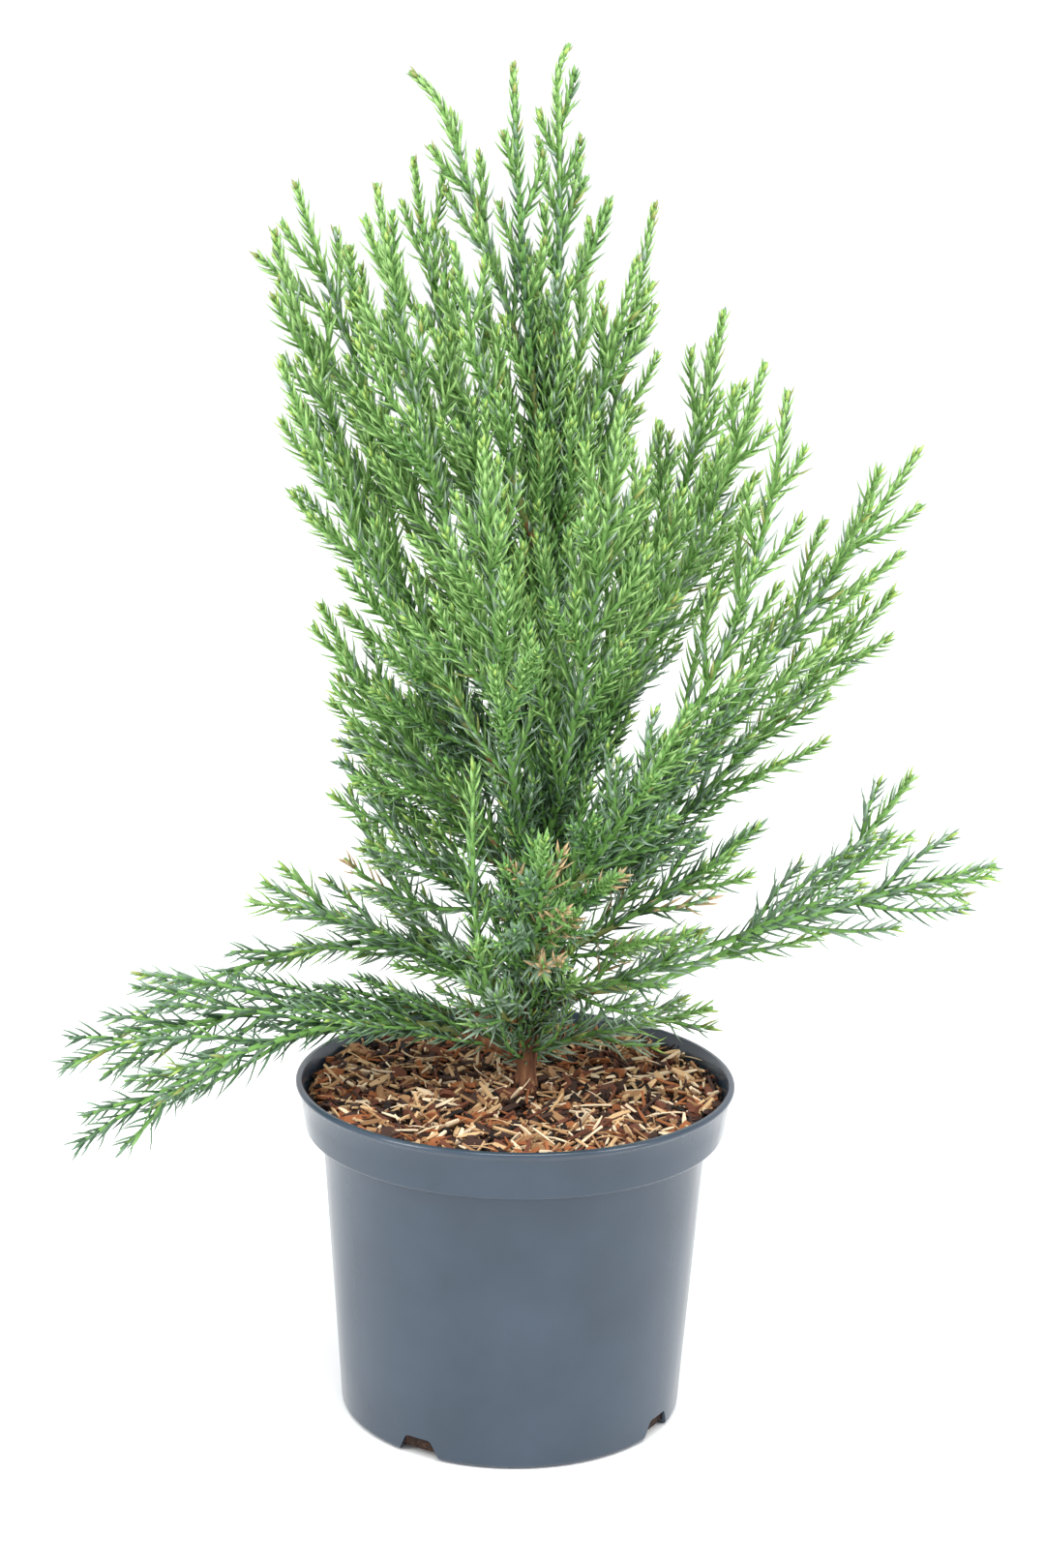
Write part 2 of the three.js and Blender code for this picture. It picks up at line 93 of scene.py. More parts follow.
# Boughs, stems and twigs
BOUGH_RADII = (2.1, 1.3)
TWIG_ZONE = (0.05, 0.8)
TWIG_STRAY = 60
TWIG_FALL = 0.6
TWIG_SPREAD = (0.72, 1.08)
TWIG_ANGLE = 36
TWIG_SPLAY = 10
GOLDEN_ANGLE = 137.5
POT_ROOM = 1  # between shoots and the pot

# Each plume by its sector of the crown: its name, the height where it leaves the trunk,
# its compass way, how far out its tip is, the height of the tip, the rise in degrees at
# the trunk, the share of its path that is bare bough, the length of its longest twig and
# the number of places for side twigs along its stem.
SECTORS = {
    "top": [
        ("leader", 406, 0, 5, 536, 85, 0, 52, 9),
        ("top_middle", 366, 226, 23, 529, 78, 0, 54, 8),
        ("top_left", 384, 172, 55, 525, 75, 0, 62, 9),
        ("top_right", 350, 350, 32, 460, 72, 0, 58, 8),
    ],
    "left_high": [
        ("left_crest", 309, 166, 55, 494, 66, 0.28, 70, 12),
        ("left_high", 272, 176, 97, 484, 60, 0.3, 80, 13),
        ("left_outer", 236, 184, 103, 467, 58, 0.32, 66, 14),
        ("left_shoulder", 260, 212, 75, 486, 64, 0.3, 78, 14),
        ("left_inner", 343, 228, 55, 466, 60, 0, 62, 10),
        ("left_flank", 248, 202, 106, 422, 50, 0, 66, 14),
    ],
    "right_high": [
        ("right_crest", 266, 10, 39, 479, 80, 0, 64, 14),
        ("right_high", 234, 14, 69, 439, 62, 0.3, 66, 13),
        ("right_shoulder", 244, 345, 83, 423, 58, 0.3, 66, 12),
        ("right_plume", 218, 338, 95, 414, 40, 0.32, 60, 11),
        ("right_arm", 208, 358, 142, 390, 46, 0.36, 70, 12),
        ("right_lower_arm", 195, 8, 140, 331, 40, 0.34, 66, 12),
    ],
    "left_low": [
        ("left_middle", 223, 190, 86, 328, 42, 0, 66, 14),
        ("left_lower", 216, 164, 83, 305, 34, 0, 62, 13),
        ("left_ledge", 201, 186, 75, 266, 24, 0, 56, 12),
        ("low_left_upright", 161, 160, 79, 246, 24, 0, 50, 10),
        ("low_left_spray", 172, 181, 107, 214, 20, 0.28, 56, 8),
        ("low_left_trail", 178, 176, 158, 153, 28, 0, 46, 8),
        ("low_left_fan", 157, 187, 184, 143, 18, 0.42, 70, 9),
        ("low_left_droop", 141, 200, 182, 125, 36, 0.44, 70, 9),
    ],
    "right_low": [
        ("low_right_fan", 164, 354, 180, 231, 26, 0.4, 70, 9),
        ("low_right_lift", 176, 6, 150, 258, -9, 0.42, 60, 7),
        ("right_ledge", 186, 344, 90, 247, 28, 0, 60, 10),
        ("right_skirt", 169, 326, 79, 206, 18, 0, 54, 9),
        ("right_creeper", 147, 18, 79, 157, 8, 0, 44, 6),
    ],
    "front": [
        ("front_upright", 163, 248, 61, 277, 4, 0, 34, 12),
        ("front_low", 181, 272, 97, 260, 32, 0, 62, 12),
        ("front_skirt", 199, 302, 102, 307, 42, 0, 68, 13),
        ("front_left", 210, 254, 82, 400, 57, 0.26, 78, 15),
        ("front_right", 222, 290, 76, 412, 60, 0.26, 76, 15),
    ],
    "back": [
        ("back_skirt", 161, 82, 128, 216, 22, 0.28, 72, 12),
        ("back_low", 197, 122, 112, 315, 42, 0, 74, 13),
        ("back_middle", 218, 62, 100, 388, 55, 0.26, 80, 15),
        ("back_high", 250, 116, 87, 431, 58, 0, 78, 15),
        ("back_crest", 303, 76, 59, 471, 64, 0, 72, 12),
    ],
}

# ---- sizes of the looks

# Stems, side twigs and the fine shoots on them, on the boughs and on the trunk
STEM_RADII = (1.6, 0.8)
TWIG_RADII = (1.1, 0.6)
FINE_RADII = (0.95, 0.55)
FINE_STEP = 25  # distance between fine shoots along a twig
FINE_ZONE = (0.08, 0.75)
FINE_ANGLE = 22
FINE_ANGLES = (FINE_ANGLE, FINE_ANGLE)
FINE_SHARES = (0.84, 0.5)  # their length against the twig, from its root to its tip
FINE_SPREAD = (0.65, 1.15)
FINE_STRAY = 50
FINE_TURN = 67  # how much further round each next twig its first fine shoot is
SHORTEST_SHOOT = 9
CLEAR_FROM = 0.3  # share of a shoot's path from where it keeps clear of the pot
BOUGH_CLEAR = 12  # the first stretch of a bough, which has no shoots
INNER_LENGTH = 42  # shoots on the trunk and the boughs
INNER_TURN = 90  # place round the limb of the first of them
INNER_STEP = 4.5
INNER_ZONE = (139, 225, 400)  # heights on the trunk where they start, thin out and end
FOOT_ANGLES = (74, FINE_ANGLE)  # of those at the trunk's foot, and further up
COLLAR_LENGTH = 24  # of the shoots that cover the trunk just above its foot
COLLAR_STEP = 0.9
COLLAR_ZONE = (143, 178)
COLLAR_ANGLES = (56, 36)
TRUNK_NEEDLES_FROM = 153  # height where the trunk's green upper part starts
BARK_SHARE = 0.25  # share of a bough's length that has no needles
TRUNK_GREENS = (0.2, 0.38)  # shares of their length where they turn olive and then green
BOUGH_GREENS = (0.4, 0.65)  # of a low bough: higher ones turn green nearer to the trunk

# Needles, in five slowly winding ranks round a shoot. Pairs are for low on the plant and
# for its top.
NEEDLE_LENGTH = 9.2
NEEDLE_WIDTH = (1.55, 1.85)
NEEDLE_THICKNESS = (0.65, 0.8)
NEEDLE_TURN = 142.6  # degrees round the shoot to the next needle
NEEDLE_STEP = (2.25, 1.55)  # distance between full-sized needles along a shoot
TIP_STEP = 0.85  # and between those at its tip
NEEDLE_ANGLE = (42, 30)
NEEDLE_CURL = (7, 6)  # degrees that a needle's outer half turns back
NEEDLE_STRAY = 3  # degrees, both round the shoot and off it
NEEDLE_SPREAD = (0.88, 1.08)  # of their lengths
FIRST_NEEDLE = 1.3  # its distance from the shoot's root, in steps
ROOT_DEPTH = 0.6  # share of the shoot's radius at which needles are rooted
TAPER_SHARE = 0.5  # the last part of a shoot, where its needles get shorter
TAPER_SPAN = (10, 34)  # its length at least and at most
BASE_SHARE = 0.7  # length of a shoot's first needles
BASE_SPAN = 25  # distance over which needles would grow from nothing to full length
TIP_SHARE = (0.5, 0.38)  # length of its last needles
TIP_OPENING = 0.75  # their angle against the others

# ---- paths

UP = np.array([0.0, 0.0, 1.0])
MASK = 0xFFFFFFFF


def mix(a, b, share):
    return a + (b - a) * share


def unit(vectors):
    return vectors / np.linalg.norm(vectors, axis=-1, keepdims=True)


def walk(points):
    """The distance walked along a row of points, up to each of them."""
    steps = np.linalg.norm(np.diff(points, axis=0), axis=1)
    return np.concatenate([[0.0], np.cumsum(steps)])


def chance(plume, twig, draw):
    """A number from 0 to 1 that is always the same for the same three whole numbers."""
    value = (plume + 1) * 73856093 ^ (twig + 1) * 19349663 ^ (draw + 1) * 83492791
    value &= MASK
    value = (value ^ (value >> 13)) * 1274126177 & MASK
    return (value ^ (value >> 16)) / 2**32


def compass(way, rise):
    way, rise = math.radians(way), math.radians(rise)
    out = math.cos(rise)
    return np.array([out * math.cos(way), out * math.sin(way), math.sin(rise)])


def across(heading, turn):
    """The direction square to a heading at a place round it, in degrees."""
    side = unit(np.cross(heading, UP))
    lift = np.cross(side, heading)
    turn = np.radians(np.asarray(turn, float))[..., None]
    return side * np.cos(turn) + lift * np.sin(turn)


def turned(heading, angle, turn):
    """A heading turned off its line by an angle, towards a place round it."""
    angle = np.radians(np.asarray(angle, float))[..., None]
    return heading * np.cos(angle) + across(heading, turn) * np.sin(angle)


class Path:
    """A quadratic curve from a start, drawn towards a bend, to a tip that may hook over."""

    def __init__(self, start, bend, tip, hook=(0, 0, 0)):
        self.start, self.bend, self.hook = (np.array(p, float) for p in (start, bend, hook))
        self.tip = np.array(tip, float) - self.hook

    def hooked(self, t):
        return np.clip(1 - (1 - t) / HOOK_SHARE, 0, 1)

    def at(self, share):
        t = np.asarray(share, float)[..., None]
        line = (1 - t) ** 2 * self.start + 2 * t * (1 - t) * self.bend + t**2 * self.tip
        return line + self.hook * self.hooked(t) ** 2

    def heading(self, share):
        t = np.asarray(share, float)[..., None]
        line = (1 - t) * (self.bend - self.start) + t * (self.tip - self.bend)
        return unit(line + self.hook * self.hooked(t) / HOOK_SHARE)

    def walked(self, start, end=1.0):
        """Shares of the path from start to end, and the distance walked up to each."""
        shares = np.linspace(start, end, 49)
        return shares, walk(self.at(shares))

    def length(self, start=0.0, end=1.0):
        return self.walked(start, end)[1][-1]

    def side_path(self, along, turn, angle, length):
        """The path of a shoot that leaves this one and turns towards its line."""
        heading = self.heading(along)
        start = self.at(along)
        bend = start + turned(heading, angle, turn) * length / 2
        return Path(start, bend, bend + turned(heading, TWIG_SPLAY, turn) * length / 2)


TRUNK_PATH = Path((*TRUNK_FOOT, GROUND), TRUNK_BEND, TRUNK_TIP)


def trunk_share(height):
    return (height - GROUND) / (TRUNK_TIP[2] - GROUND)


def trunk_radius(height):
    flare = np.maximum(1 - (height - GROUND) / FLARE_HEIGHT, 0)
    swell = (FLARE_RADIUS - TRUNK_RADIUS) * flare**2
    return mix(TRUNK_RADIUS, TRUNK_TIP_RADIUS, trunk_share(height)) + swell


def plume_path(foot, way, reach, top, rise, hook):
    start = TRUNK_PATH.at(trunk_share(foot))
    tip = start + reach * compass(way, 0)
    tip[2] = top
    half = np.linalg.norm(tip - start) / 2
    return Path(start, start + half * compass(way, rise), tip, hook)


def in_pot(points, radius):
    """True for each thick point that would touch the pot or the soil."""
    out = np.hypot(points[..., 0], points[..., 1])
    over_soil = out < RIM_RADIUS - LIP_ROOM
    floor = np.where(over_soil, SOIL_HEIGHT + SOIL_CROWN + SOIL_LUMP, RIM_HEIGHT)
    room = radius + POT_ROOM
    return (out < RIM_RADIUS + room) & (points[..., 2] < floor + room)


# ---- the plant's shoots


@dataclass
class Shoot:
    """One needled shoot: where it runs, how thick it is and how its needles look."""

    path: Path
    start: float  # share of the path where the shoot starts
    radii: tuple
    size: float  # length of its needles against NEEDLE_LENGTH
    tone: float  # painted shade and light: from 0, deep inside the crown, to 1, in full light
    fresh: float  # share of its needles that have the fresh colours
    dry: float  # share of its needles that have dried
    end: float
    tapers: bool  # whether its needles get shorter towards its tip

    def __post_init__(self):
        self.height = crown_height(self.path.at(self.end))
        self.length = self.path.length(self.start, self.end)

    def clear_of_pot(self):
        return not in_pot(self.path.at(np.linspace(CLEAR_FROM, 1, 5)), self.radii[0] + 1).any()


# Plumes with dried shoots, and the share of their shoots that are dry
DRY_PLUMES = {
    "front_low": 0.16,
    "front_upright": 0.12,
    "front_skirt": 0.06,
    "low_left_upright": 0.14,
    "left_ledge": 0.06,
    "right_ledge": 0.1,
    "right_skirt": 0.1,
    "back_skirt": 0.06,
}
DRY_NEEDLES = 0.55  # share of a dry shoot's needles that have dried

# Open arms, whose side twigs carry no finer shoots
PLAIN_ARMS = (
    "low_left_spray", "low_left_trail", "low_left_fan", "low_left_droop",
    "low_right_fan", "low_right_lift", "right_lower_arm", "right_arm", "right_plume",
)

# Arms whose boughs carry neither shoots nor needles
BARE_ARMS = ("low_right_fan", "low_right_lift")

# How far the tips of some plumes bend off their line
TIP_HOOKS = {
    "leader": (6, 0, -1),
    "top_left": (-6, 0, -3),
}
HOOK_SHARE = 0.14  # the last part of the plume, which bends

HIGH_NEEDLES = 0.86  # length of the needles in the upper crown
LOW_NEEDLES = {STEM_RADII: 1.65, TWIG_RADII: 1.48, FINE_RADII: 1.16}  # and low down, by limb
CROWN_FOOT = 130
CROWN_TOP = 540
# Painted light and shade, which pick the needles' lit or shaded colours
LIGHT_HEIGHTS = (0, 0.15, 0.28, 0.4, 0.5, 0.65, 1)  # shares of the crown's height
LIGHT_LEVELS = (0.5, 0.54, 0.4, 0.44, 0.66, 0.55, 0.32)  # painted light beside the trunk at each
SKIRT_TOP = 0.25  # share of the crown's height where the low arms end
SIDE_LIGHT = 0.2  # how much more painted light the low arms get every 100 mm to the right
STEM_LIGHT = (0.3, 0.16)  # more painted light for stems than for inner shoots, high and low
TWIG_OUTWARDS, FINE_OUTWARDS = 0.8, 0.4  # share of that for side twigs and fine shoots
OUTER_LIGHT = (-0.12, 0.26)  # more painted light 100 mm out of the trunk, at the foot and the top
TONE_SPREAD = (0.26, 0.5)  # how much shoots differ at random in painted light, low down and half way up
SIZE_SPREAD = (0.88, 1.1)  # and in the length of their needles
FRESH_SHARES = (0.08, 0.94)  # share of fresh needles on an old shoot and on a young one
YOUTH_BY_LIGHT = 1.5
YOUTH_BY_HEIGHT = 0.5
YOUTH_START = 0.45
YOUTH_RISE = 150  # height over the crown's foot up to where fewer shoots are young

# What tells the draws of one shoot apart, and then the shoots of one plume
TURN_DRAW, LENGTH_DRAW, TONE_DRAW, DRY_DRAW, SIZE_DRAW, YOUTH_DRAW = 0, 1, 5, 6, 7, 8
FIRST_TWIG = 1
FIRST_FINE = 40
FINE_NUMBERS = 20  # kept for the fine shoots of each twig
BOUGH_NUMBER = 490
BOUGH_FINE = 500
TRUNK_NUMBER = 300
TRUNK_FINE, TRUNK_UPPER_FINE, COLLAR_FINE = 0, 100, 310


def painted_light_at(point, outwards):
    """The painted light of a shoot at its tip, which picks its needles' lit or shaded colours, by its
    height and how far out it is.
    """
    trunk = TRUNK_PATH.at(np.clip(trunk_share(point[2]), 0, 1))
    out = math.hypot(*(point - trunk)[:2])
    height = crown_height(point)
    skirt = max(1 - height / SKIRT_TOP, 0)
    light = np.interp(height, LIGHT_HEIGHTS, LIGHT_LEVELS) + mix(*STEM_LIGHT, skirt) * outwards
    # painted light: lighter colours for low arms further to the right
    light += SIDE_LIGHT * skirt * point[0] / 100
    return light + mix(*OUTER_LIGHT, height) * min(out / 100, 1)


def crown_height(point):
    """From 0 at the crown's foot to 1 at its top."""
    return np.clip((point[2] - CROWN_FOOT) / (CROWN_TOP - CROWN_FOOT), 0, 1)


def needle_size(point, radii):
    return mix(LOW_NEEDLES.get(radii, 1), HIGH_NEEDLES, crown_height(point))


def youth(point, light):
    """How likely it is that a shoot with its tip there is a young one."""
    share = YOUTH_BY_LIGHT * light - YOUTH_START + YOUTH_BY_HEIGHT * crown_height(point)
    return share * min((point[2] - CROWN_FOOT) / YOUTH_RISE, 1)


class Plume:
    """A bough with the stem that grows on from it, its twigs and their fine shoots."""

    def __init__(self, index, row):
        self.index = index
        self.name, foot, way, reach, top, rise, self.bare, self.longest, self.twigs = row
        self.path = plume_path(foot, way, reach, top, rise, TIP_HOOKS.get(self.name, (0, 0, 0)))
        self.start = self.bare and self.bare + GAP / self.path.length()
        self.dry_share = DRY_PLUMES.get(self.name, 0)
        self.shoots = []
        self.grow()

    def add(self, path, start, radii, outwards, number, end=1.0, tapers=True):
        """A needled shoot; outwards is 1 on a stem and 0 on the innermost shoots."""
        tip = path.at(end)
        light = painted_light_at(tip, outwards)
        spread = mix(*TONE_SPREAD, min(2 * crown_height(tip), 1))
        tone = light + spread * (chance(self.index, number, TONE_DRAW) - 0.5)
        young = chance(self.index, number, YOUTH_DRAW) < youth(tip, light)
        dry = DRY_NEEDLES if chance(self.index, number, DRY_DRAW) < self.dry_share else 0
        size = needle_size(tip, radii) * mix(*SIZE_SPREAD, chance(self.index, number, SIZE_DRAW))
        shoot = Shoot(path, start, radii, size, tone, FRESH_SHARES[int(young)], dry, end, tapers)
        if shoot.length >= SHORTEST_SHOOT and shoot.clear_of_pot():
            self.shoots.append(shoot)

    def grow(self):
        self.add(self.path, self.start, STEM_RADII, 1, 0)
        for place in range(self.twigs):
            self.add_twig(place)
        if self.bare and self.name not in BARE_ARMS:
            first = BOUGH_CLEAR / self.path.length()
            self.add_fine_along(self.path, first, self.bare, FINE_ANGLES, INNER_STEP, BOUGH_FINE)
            needled = BARK_SHARE * self.bare
            self.add(self.path, needled, BOUGH_RADII, 0, BOUGH_NUMBER, self.bare, tapers=False)

    def add_twig(self, place):
        """A side twig by the rule of the solids, with its fine shoots."""
        share = (place + 0.5) / self.twigs
        along = mix(self.start, 1, mix(*TWIG_ZONE, share))
        turn = place * GOLDEN_ANGLE + TWIG_STRAY * (chance(self.index, place, TURN_DRAW) - 0.5)
        spread = mix(*TWIG_SPREAD, chance(self.index, place, LENGTH_DRAW))
        length = self.longest * (1 - TWIG_FALL * share) * spread
        twig = self.path.side_path(along, turn, TWIG_ANGLE, length)
        self.add(twig, 0, TWIG_RADII, TWIG_OUTWARDS, FIRST_TWIG + place)
        plain = self.name in PLAIN_ARMS
        count = 0 if plain else int((FINE_ZONE[1] - FINE_ZONE[0]) * length / FINE_STEP)
        for k in range(count):
            number = FIRST_FINE + place * FINE_NUMBERS + k
            up = (k + 0.5) / count
            turn = self.fine_turn(k, place * FINE_TURN, number)
            side = length * mix(*FINE_SHARES, up) * self.fine_spread(number)
            path = twig.side_path(mix(*FINE_ZONE, up), turn, FINE_ANGLE, side)
            self.add(path, 0, FINE_RADII, FINE_OUTWARDS, number)

    def fine_turn(self, k, first, number):
        return k * GOLDEN_ANGLE + first + FINE_STRAY * (chance(self.index, number, TURN_DRAW) - 0.5)

    def fine_spread(self, number):
        return mix(*FINE_SPREAD, chance(self.index, number, LENGTH_DRAW))

    def add_fine_along(self, path, start, end, angles, step, first_number, length=INNER_LENGTH):
        """Short shoots all along a stretch of a limb, with their angles at its two ends."""
        count = int(path.length(start, end) / step)
        for k in range(count):
            number = first_number + k
            up = (k + 0.5) / count
            turn = self.fine_turn(k, INNER_TURN, number)
            reach = length * self.fine_spread(number)
            side = path.side_path(mix(start, end, up), turn, mix(*angles, up), reach)
            self.add(side, 0, FINE_RADII, 0, number)


class TrunkShoots(Plume):
    """The short shoots that clothe the trunk, and the needles on its green upper part."""

    def grow(self):
        for zone, angles, step, number, length in (
            (INNER_ZONE[:2], FOOT_ANGLES, INNER_STEP / 3, TRUNK_FINE, INNER_LENGTH),
            (INNER_ZONE[1:], FINE_ANGLES, INNER_STEP / 2, TRUNK_UPPER_FINE, INNER_LENGTH),
            (COLLAR_ZONE, COLLAR_ANGLES, COLLAR_STEP, COLLAR_FINE, COLLAR_LENGTH),
        ):
            foot, end = (trunk_share(height) for height in zone)
            self.add_fine_along(TRUNK_PATH, foot, end, angles, step, number, length)
        start = trunk_share(TRUNK_NEEDLES_FROM)
        radii = (trunk_radius(TRUNK_NEEDLES_FROM), TRUNK_TIP_RADIUS)
        self.add(TRUNK_PATH, start, radii, 1, TRUNK_NUMBER, tapers=False)


# ---- meshes


def add_object(name, data):
    made = bpy.data.objects.new(name, data)
    bpy.context.scene.collection.objects.link(made)
    return made


class Heap:
    """Triangles gathered for one joined mesh, each with the number of its material."""

    def __init__(self):
        self.points, self.faces, self.kinds = [], [], []
        self.count = 0

    def add(self, points, faces, kinds):
        self.points.append(points)
        self.faces.append(faces + self.count)
        self.kinds.append(np.broadcast_to(kinds, len(faces)))
        self.count += len(points)

    def object(self, name, materials, slot, smooth=True):
        points = np.concatenate(self.points) * MM
        mesh = bpy.data.meshes.new(name)
        mesh.from_pydata(points, [], np.concatenate(self.faces), shade_flat=not smooth)
        kinds = np.concatenate(self.kinds).astype(np.int32)
        mesh.polygons.foreach_set("material_index", kinds)
        for material in materials:
            mesh.materials.append(material)
        piece = add_object(name, mesh)
        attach(piece, "root")
        return piece


def round_turn(sides):
    """The places of a ring's corners round it, in radians."""
    return np.arange(sides) * 2 * math.pi / sides


def ring_faces(rings, sides):
    """The triangles between rings of corners, and a fan over each end."""
    ring = np.arange(rings - 1)[:, None] * sides
    a = ring + np.arange(sides)
    b = ring + (np.arange(sides) + 1) % sides
    band = np.stack([a, b, b + sides, a, b + sides, a + sides], axis=-1).reshape(-1, 3)
    fan = np.array([(0, k + 1, k) for k in range(1, sides - 1)])
    last = (rings - 1) * sides
    return np.concatenate([band, fan, fan[:, ::-1] + last])


def tube(centres, radii, sides):
    """A closed round limb; radii hold one number a ring, or one for each corner of it."""
    heading = unit(np.gradient(centres, axis=0))
    side = np.array([0.9, 0.3, 0.2])
    turn = round_turn(sides)
    radii = np.broadcast_to(np.asarray(radii, float).reshape(len(centres), -1), (len(centres), sides))
    rings = []
    for centre, ahead, radius in zip(centres, heading, radii):
        side = unit(side - ahead * side.dot(ahead))
        other = np.cross(ahead, side)
        out = np.outer(np.cos(turn), side) + np.outer(np.sin(turn), other)
        rings.append(centre + out * radius[:, None])
    return np.concatenate(rings), ring_faces(len(centres), sides)


# ---- materials


def srgb(red, green, blue):
    """A base colour from its display values, 0 to 255."""
    shares = [value / 255 for value in (red, green, blue)]
    linear = [v / 12.92 if v <= 0.04 else ((v + 0.055) / 1.055) ** 2.4 for v in shares]
    return (*linear, 1)


def finish(name, colour, roughness, specular=0.5):
    """A plain finish of one base colour."""
    made = bpy.data.materials.new(name)
    made.use_nodes = True
    shader = made.node_tree.nodes["Principled BSDF"]
    shader.inputs["Base Color"].default_value = srgb(*colour)
    shader.inputs["Roughness"].default_value = roughness
    shader.inputs["Specular IOR Level"].default_value = specular
    return made


def finishes(colours, roughness, specular):
    return [finish(name, colour, roughness, specular) for name, colour in colours.items()]


# Painted light and shade: each set runs from a shaded copy for needles deep in the crown to a lit copy
# for those in full light; bluer on old shoots and on the older part of a young one, and fresher
# towards its tip
NEEDLE_COLOURS = {
    "old_shaded": (53, 83, 57),
    "old_half_shaded": (86, 118, 87),
    "old_half_lit": (116, 146, 117),
    "old_lit": (150, 174, 151),
    "young_shaded": (60, 102, 54),
    "young_half_shaded": (96, 143, 78),
    "young_half_lit": (125, 169, 95),
    "young_lit": (148, 188, 112),
    "needle_tip": (160, 190, 98),
    "needle_bud": (138, 150, 84),
    "needle_olive": (150, 160, 88),
    "needle_dry": (198, 170, 128),
}
TONES = 4  # steps from painted shade to painted light in each of the two sets
TIP, BUD, OLIVE, DRY = range(2 * TONES, 2 * TONES + 4)

WOODY_SHARE = 0.16  # the woody first part of a stem on the trunk, and as much again olive
SHOOT_COLOURS = {
    "shoot_green": (112, 158, 82),
    "shoot_olive": (126, 134, 78),
    "shoot_brown": (132, 92, 58),
}


# ---- needles

# One needle: a three-cornered ring at its root, one at its middle and a point. Its inner
# side faces the shoot; its two outer sides meet in a keel.
OUTER_FACES = [(1, 2, 5), (1, 5, 4), (2, 0, 3), (2, 3, 5), (4, 5, 6), (5, 3, 6)]
INNER_FACES = [(0, 1, 4), (0, 4, 3), (3, 4, 6), (0, 2, 1)]
NEEDLE_FACES = np.array(OUTER_FACES + INNER_FACES)
NEEDLE_POINTS = 7
NEEDLE_SEED = 11
MIDDLE_WIDTH = 0.8  # width at a needle's middle against its root
SHADED_INSIDES_FROM = 0.2  # share of the crown's height above which inner sides, facing the shoot, are a tone darker as painted shade

PALE_SPAN = 55  # the last part of a shoot, where its needles get fresher, and paler as painted light
PALE_TONES = (-0.3, 1.1)  # what it adds to their painted light: painted shade before it, painted light at the tip
FRESH_START = 0.35  # share of a young shoot's fresh needles before it
FRESH_RISE = 1.5
TONE_STRAY = (0.14, 0.22)  # at the crown's foot, and from a third of its height
LIT_TONE = 0.45  # painted light of a shoot above which its tip shows its own colours
TIP_LENGTH = 3.5
BUD_LENGTH = 7  # growth of a tip's brownish end with the share of the crown's height
BUDS_FROM = 0.6  # share of the crown's height above which tips have one
OLIVE_SHARE = 0.012
NO_TIP = 90.0  # distance from a tip, for the needles on a bough or the trunk


def add_needles(heap, shoot, dice):
    """Ranks of needles up a shoot, shorter and closer together near its tip."""
    shares, walked = shoot.path.walked(shoot.start, shoot.end)
    span = np.clip(TAPER_SHARE * shoot.length, *TAPER_SPAN)
    grown = np.clip((shoot.length - walked) / span, 0, 1) if shoot.tapers else np.ones(len(walked))
    spacing = mix(TIP_STEP, mix(*NEEDLE_STEP, min(2 * shoot.height, 1)) * shoot.size**0.5, grown)
    passed = np.concatenate([[0], np.cumsum(np.diff(walked) / spacing[1:])])
    count = int(passed[-1] - 1)
    along = np.interp(np.arange(count) + FIRST_NEEDLE, passed, walked)
    share = np.interp(along, walked, shares)
    taper = np.interp(along, walked, grown)
    to_tip = shoot.length - along if shoot.tapers else np.full(count, NO_TIP)

    heading = shoot.path.heading(share)
    turn = np.arange(count) * NEEDLE_TURN + dice.uniform(0, 360)
    turn = turn + dice.normal(0, NEEDLE_STRAY, count)
    out = across(heading, turn)
    side = np.cross(heading, out)
    angle = mix(*NEEDLE_ANGLE, shoot.height) * mix(TIP_OPENING, 1, taper)
    opening = np.radians(angle + dice.normal(0, NEEDLE_STRAY, count))[:, None]
    closing = opening - math.radians(mix(*NEEDLE_CURL, shoot.height))
    first = heading * np.cos(opening) + out * np.sin(opening)
    last = heading * np.cos(closing) + out * np.sin(closing)
    keel = out * np.cos(opening) - heading * np.sin(opening)

    grown_base = np.clip(BASE_SHARE + along / BASE_SPAN, 0, 1)
    shape = mix(mix(*TIP_SHARE, shoot.height), 1, taper) * grown_base
    length = (NEEDLE_LENGTH * shoot.size * shape * dice.uniform(*NEEDLE_SPREAD, count))[:, None]
    radius = mix(*shoot.radii, along / shoot.length)
    root = shoot.path.at(share) + out * (ROOT_DEPTH * radius)[:, None] - heading
    middle = root + first * length / 2
    point = middle + last * length / 2
    corners = []
    for centre, width in ((root, 1), (middle, MIDDLE_WIDTH)):
        half = side * (width * mix(*NEEDLE_WIDTH, shoot.height) / 2)
        thick = keel * (width * mix(*NEEDLE_THICKNESS, shoot.height))
        corners += [centre + half, centre - half, centre + thick]
    corners.append(point)
    keep = ~in_pot(point, 0)

    points = np.stack(corners, axis=1)[keep]
    kinds = needle_kinds(shoot, to_tip, dice)[keep]
    faces = np.arange(len(points))[:, None, None] * NEEDLE_POINTS + NEEDLE_FACES
    heap.add(points.reshape(-1, 3), faces.reshape(-1, 3), kinds.reshape(-1))


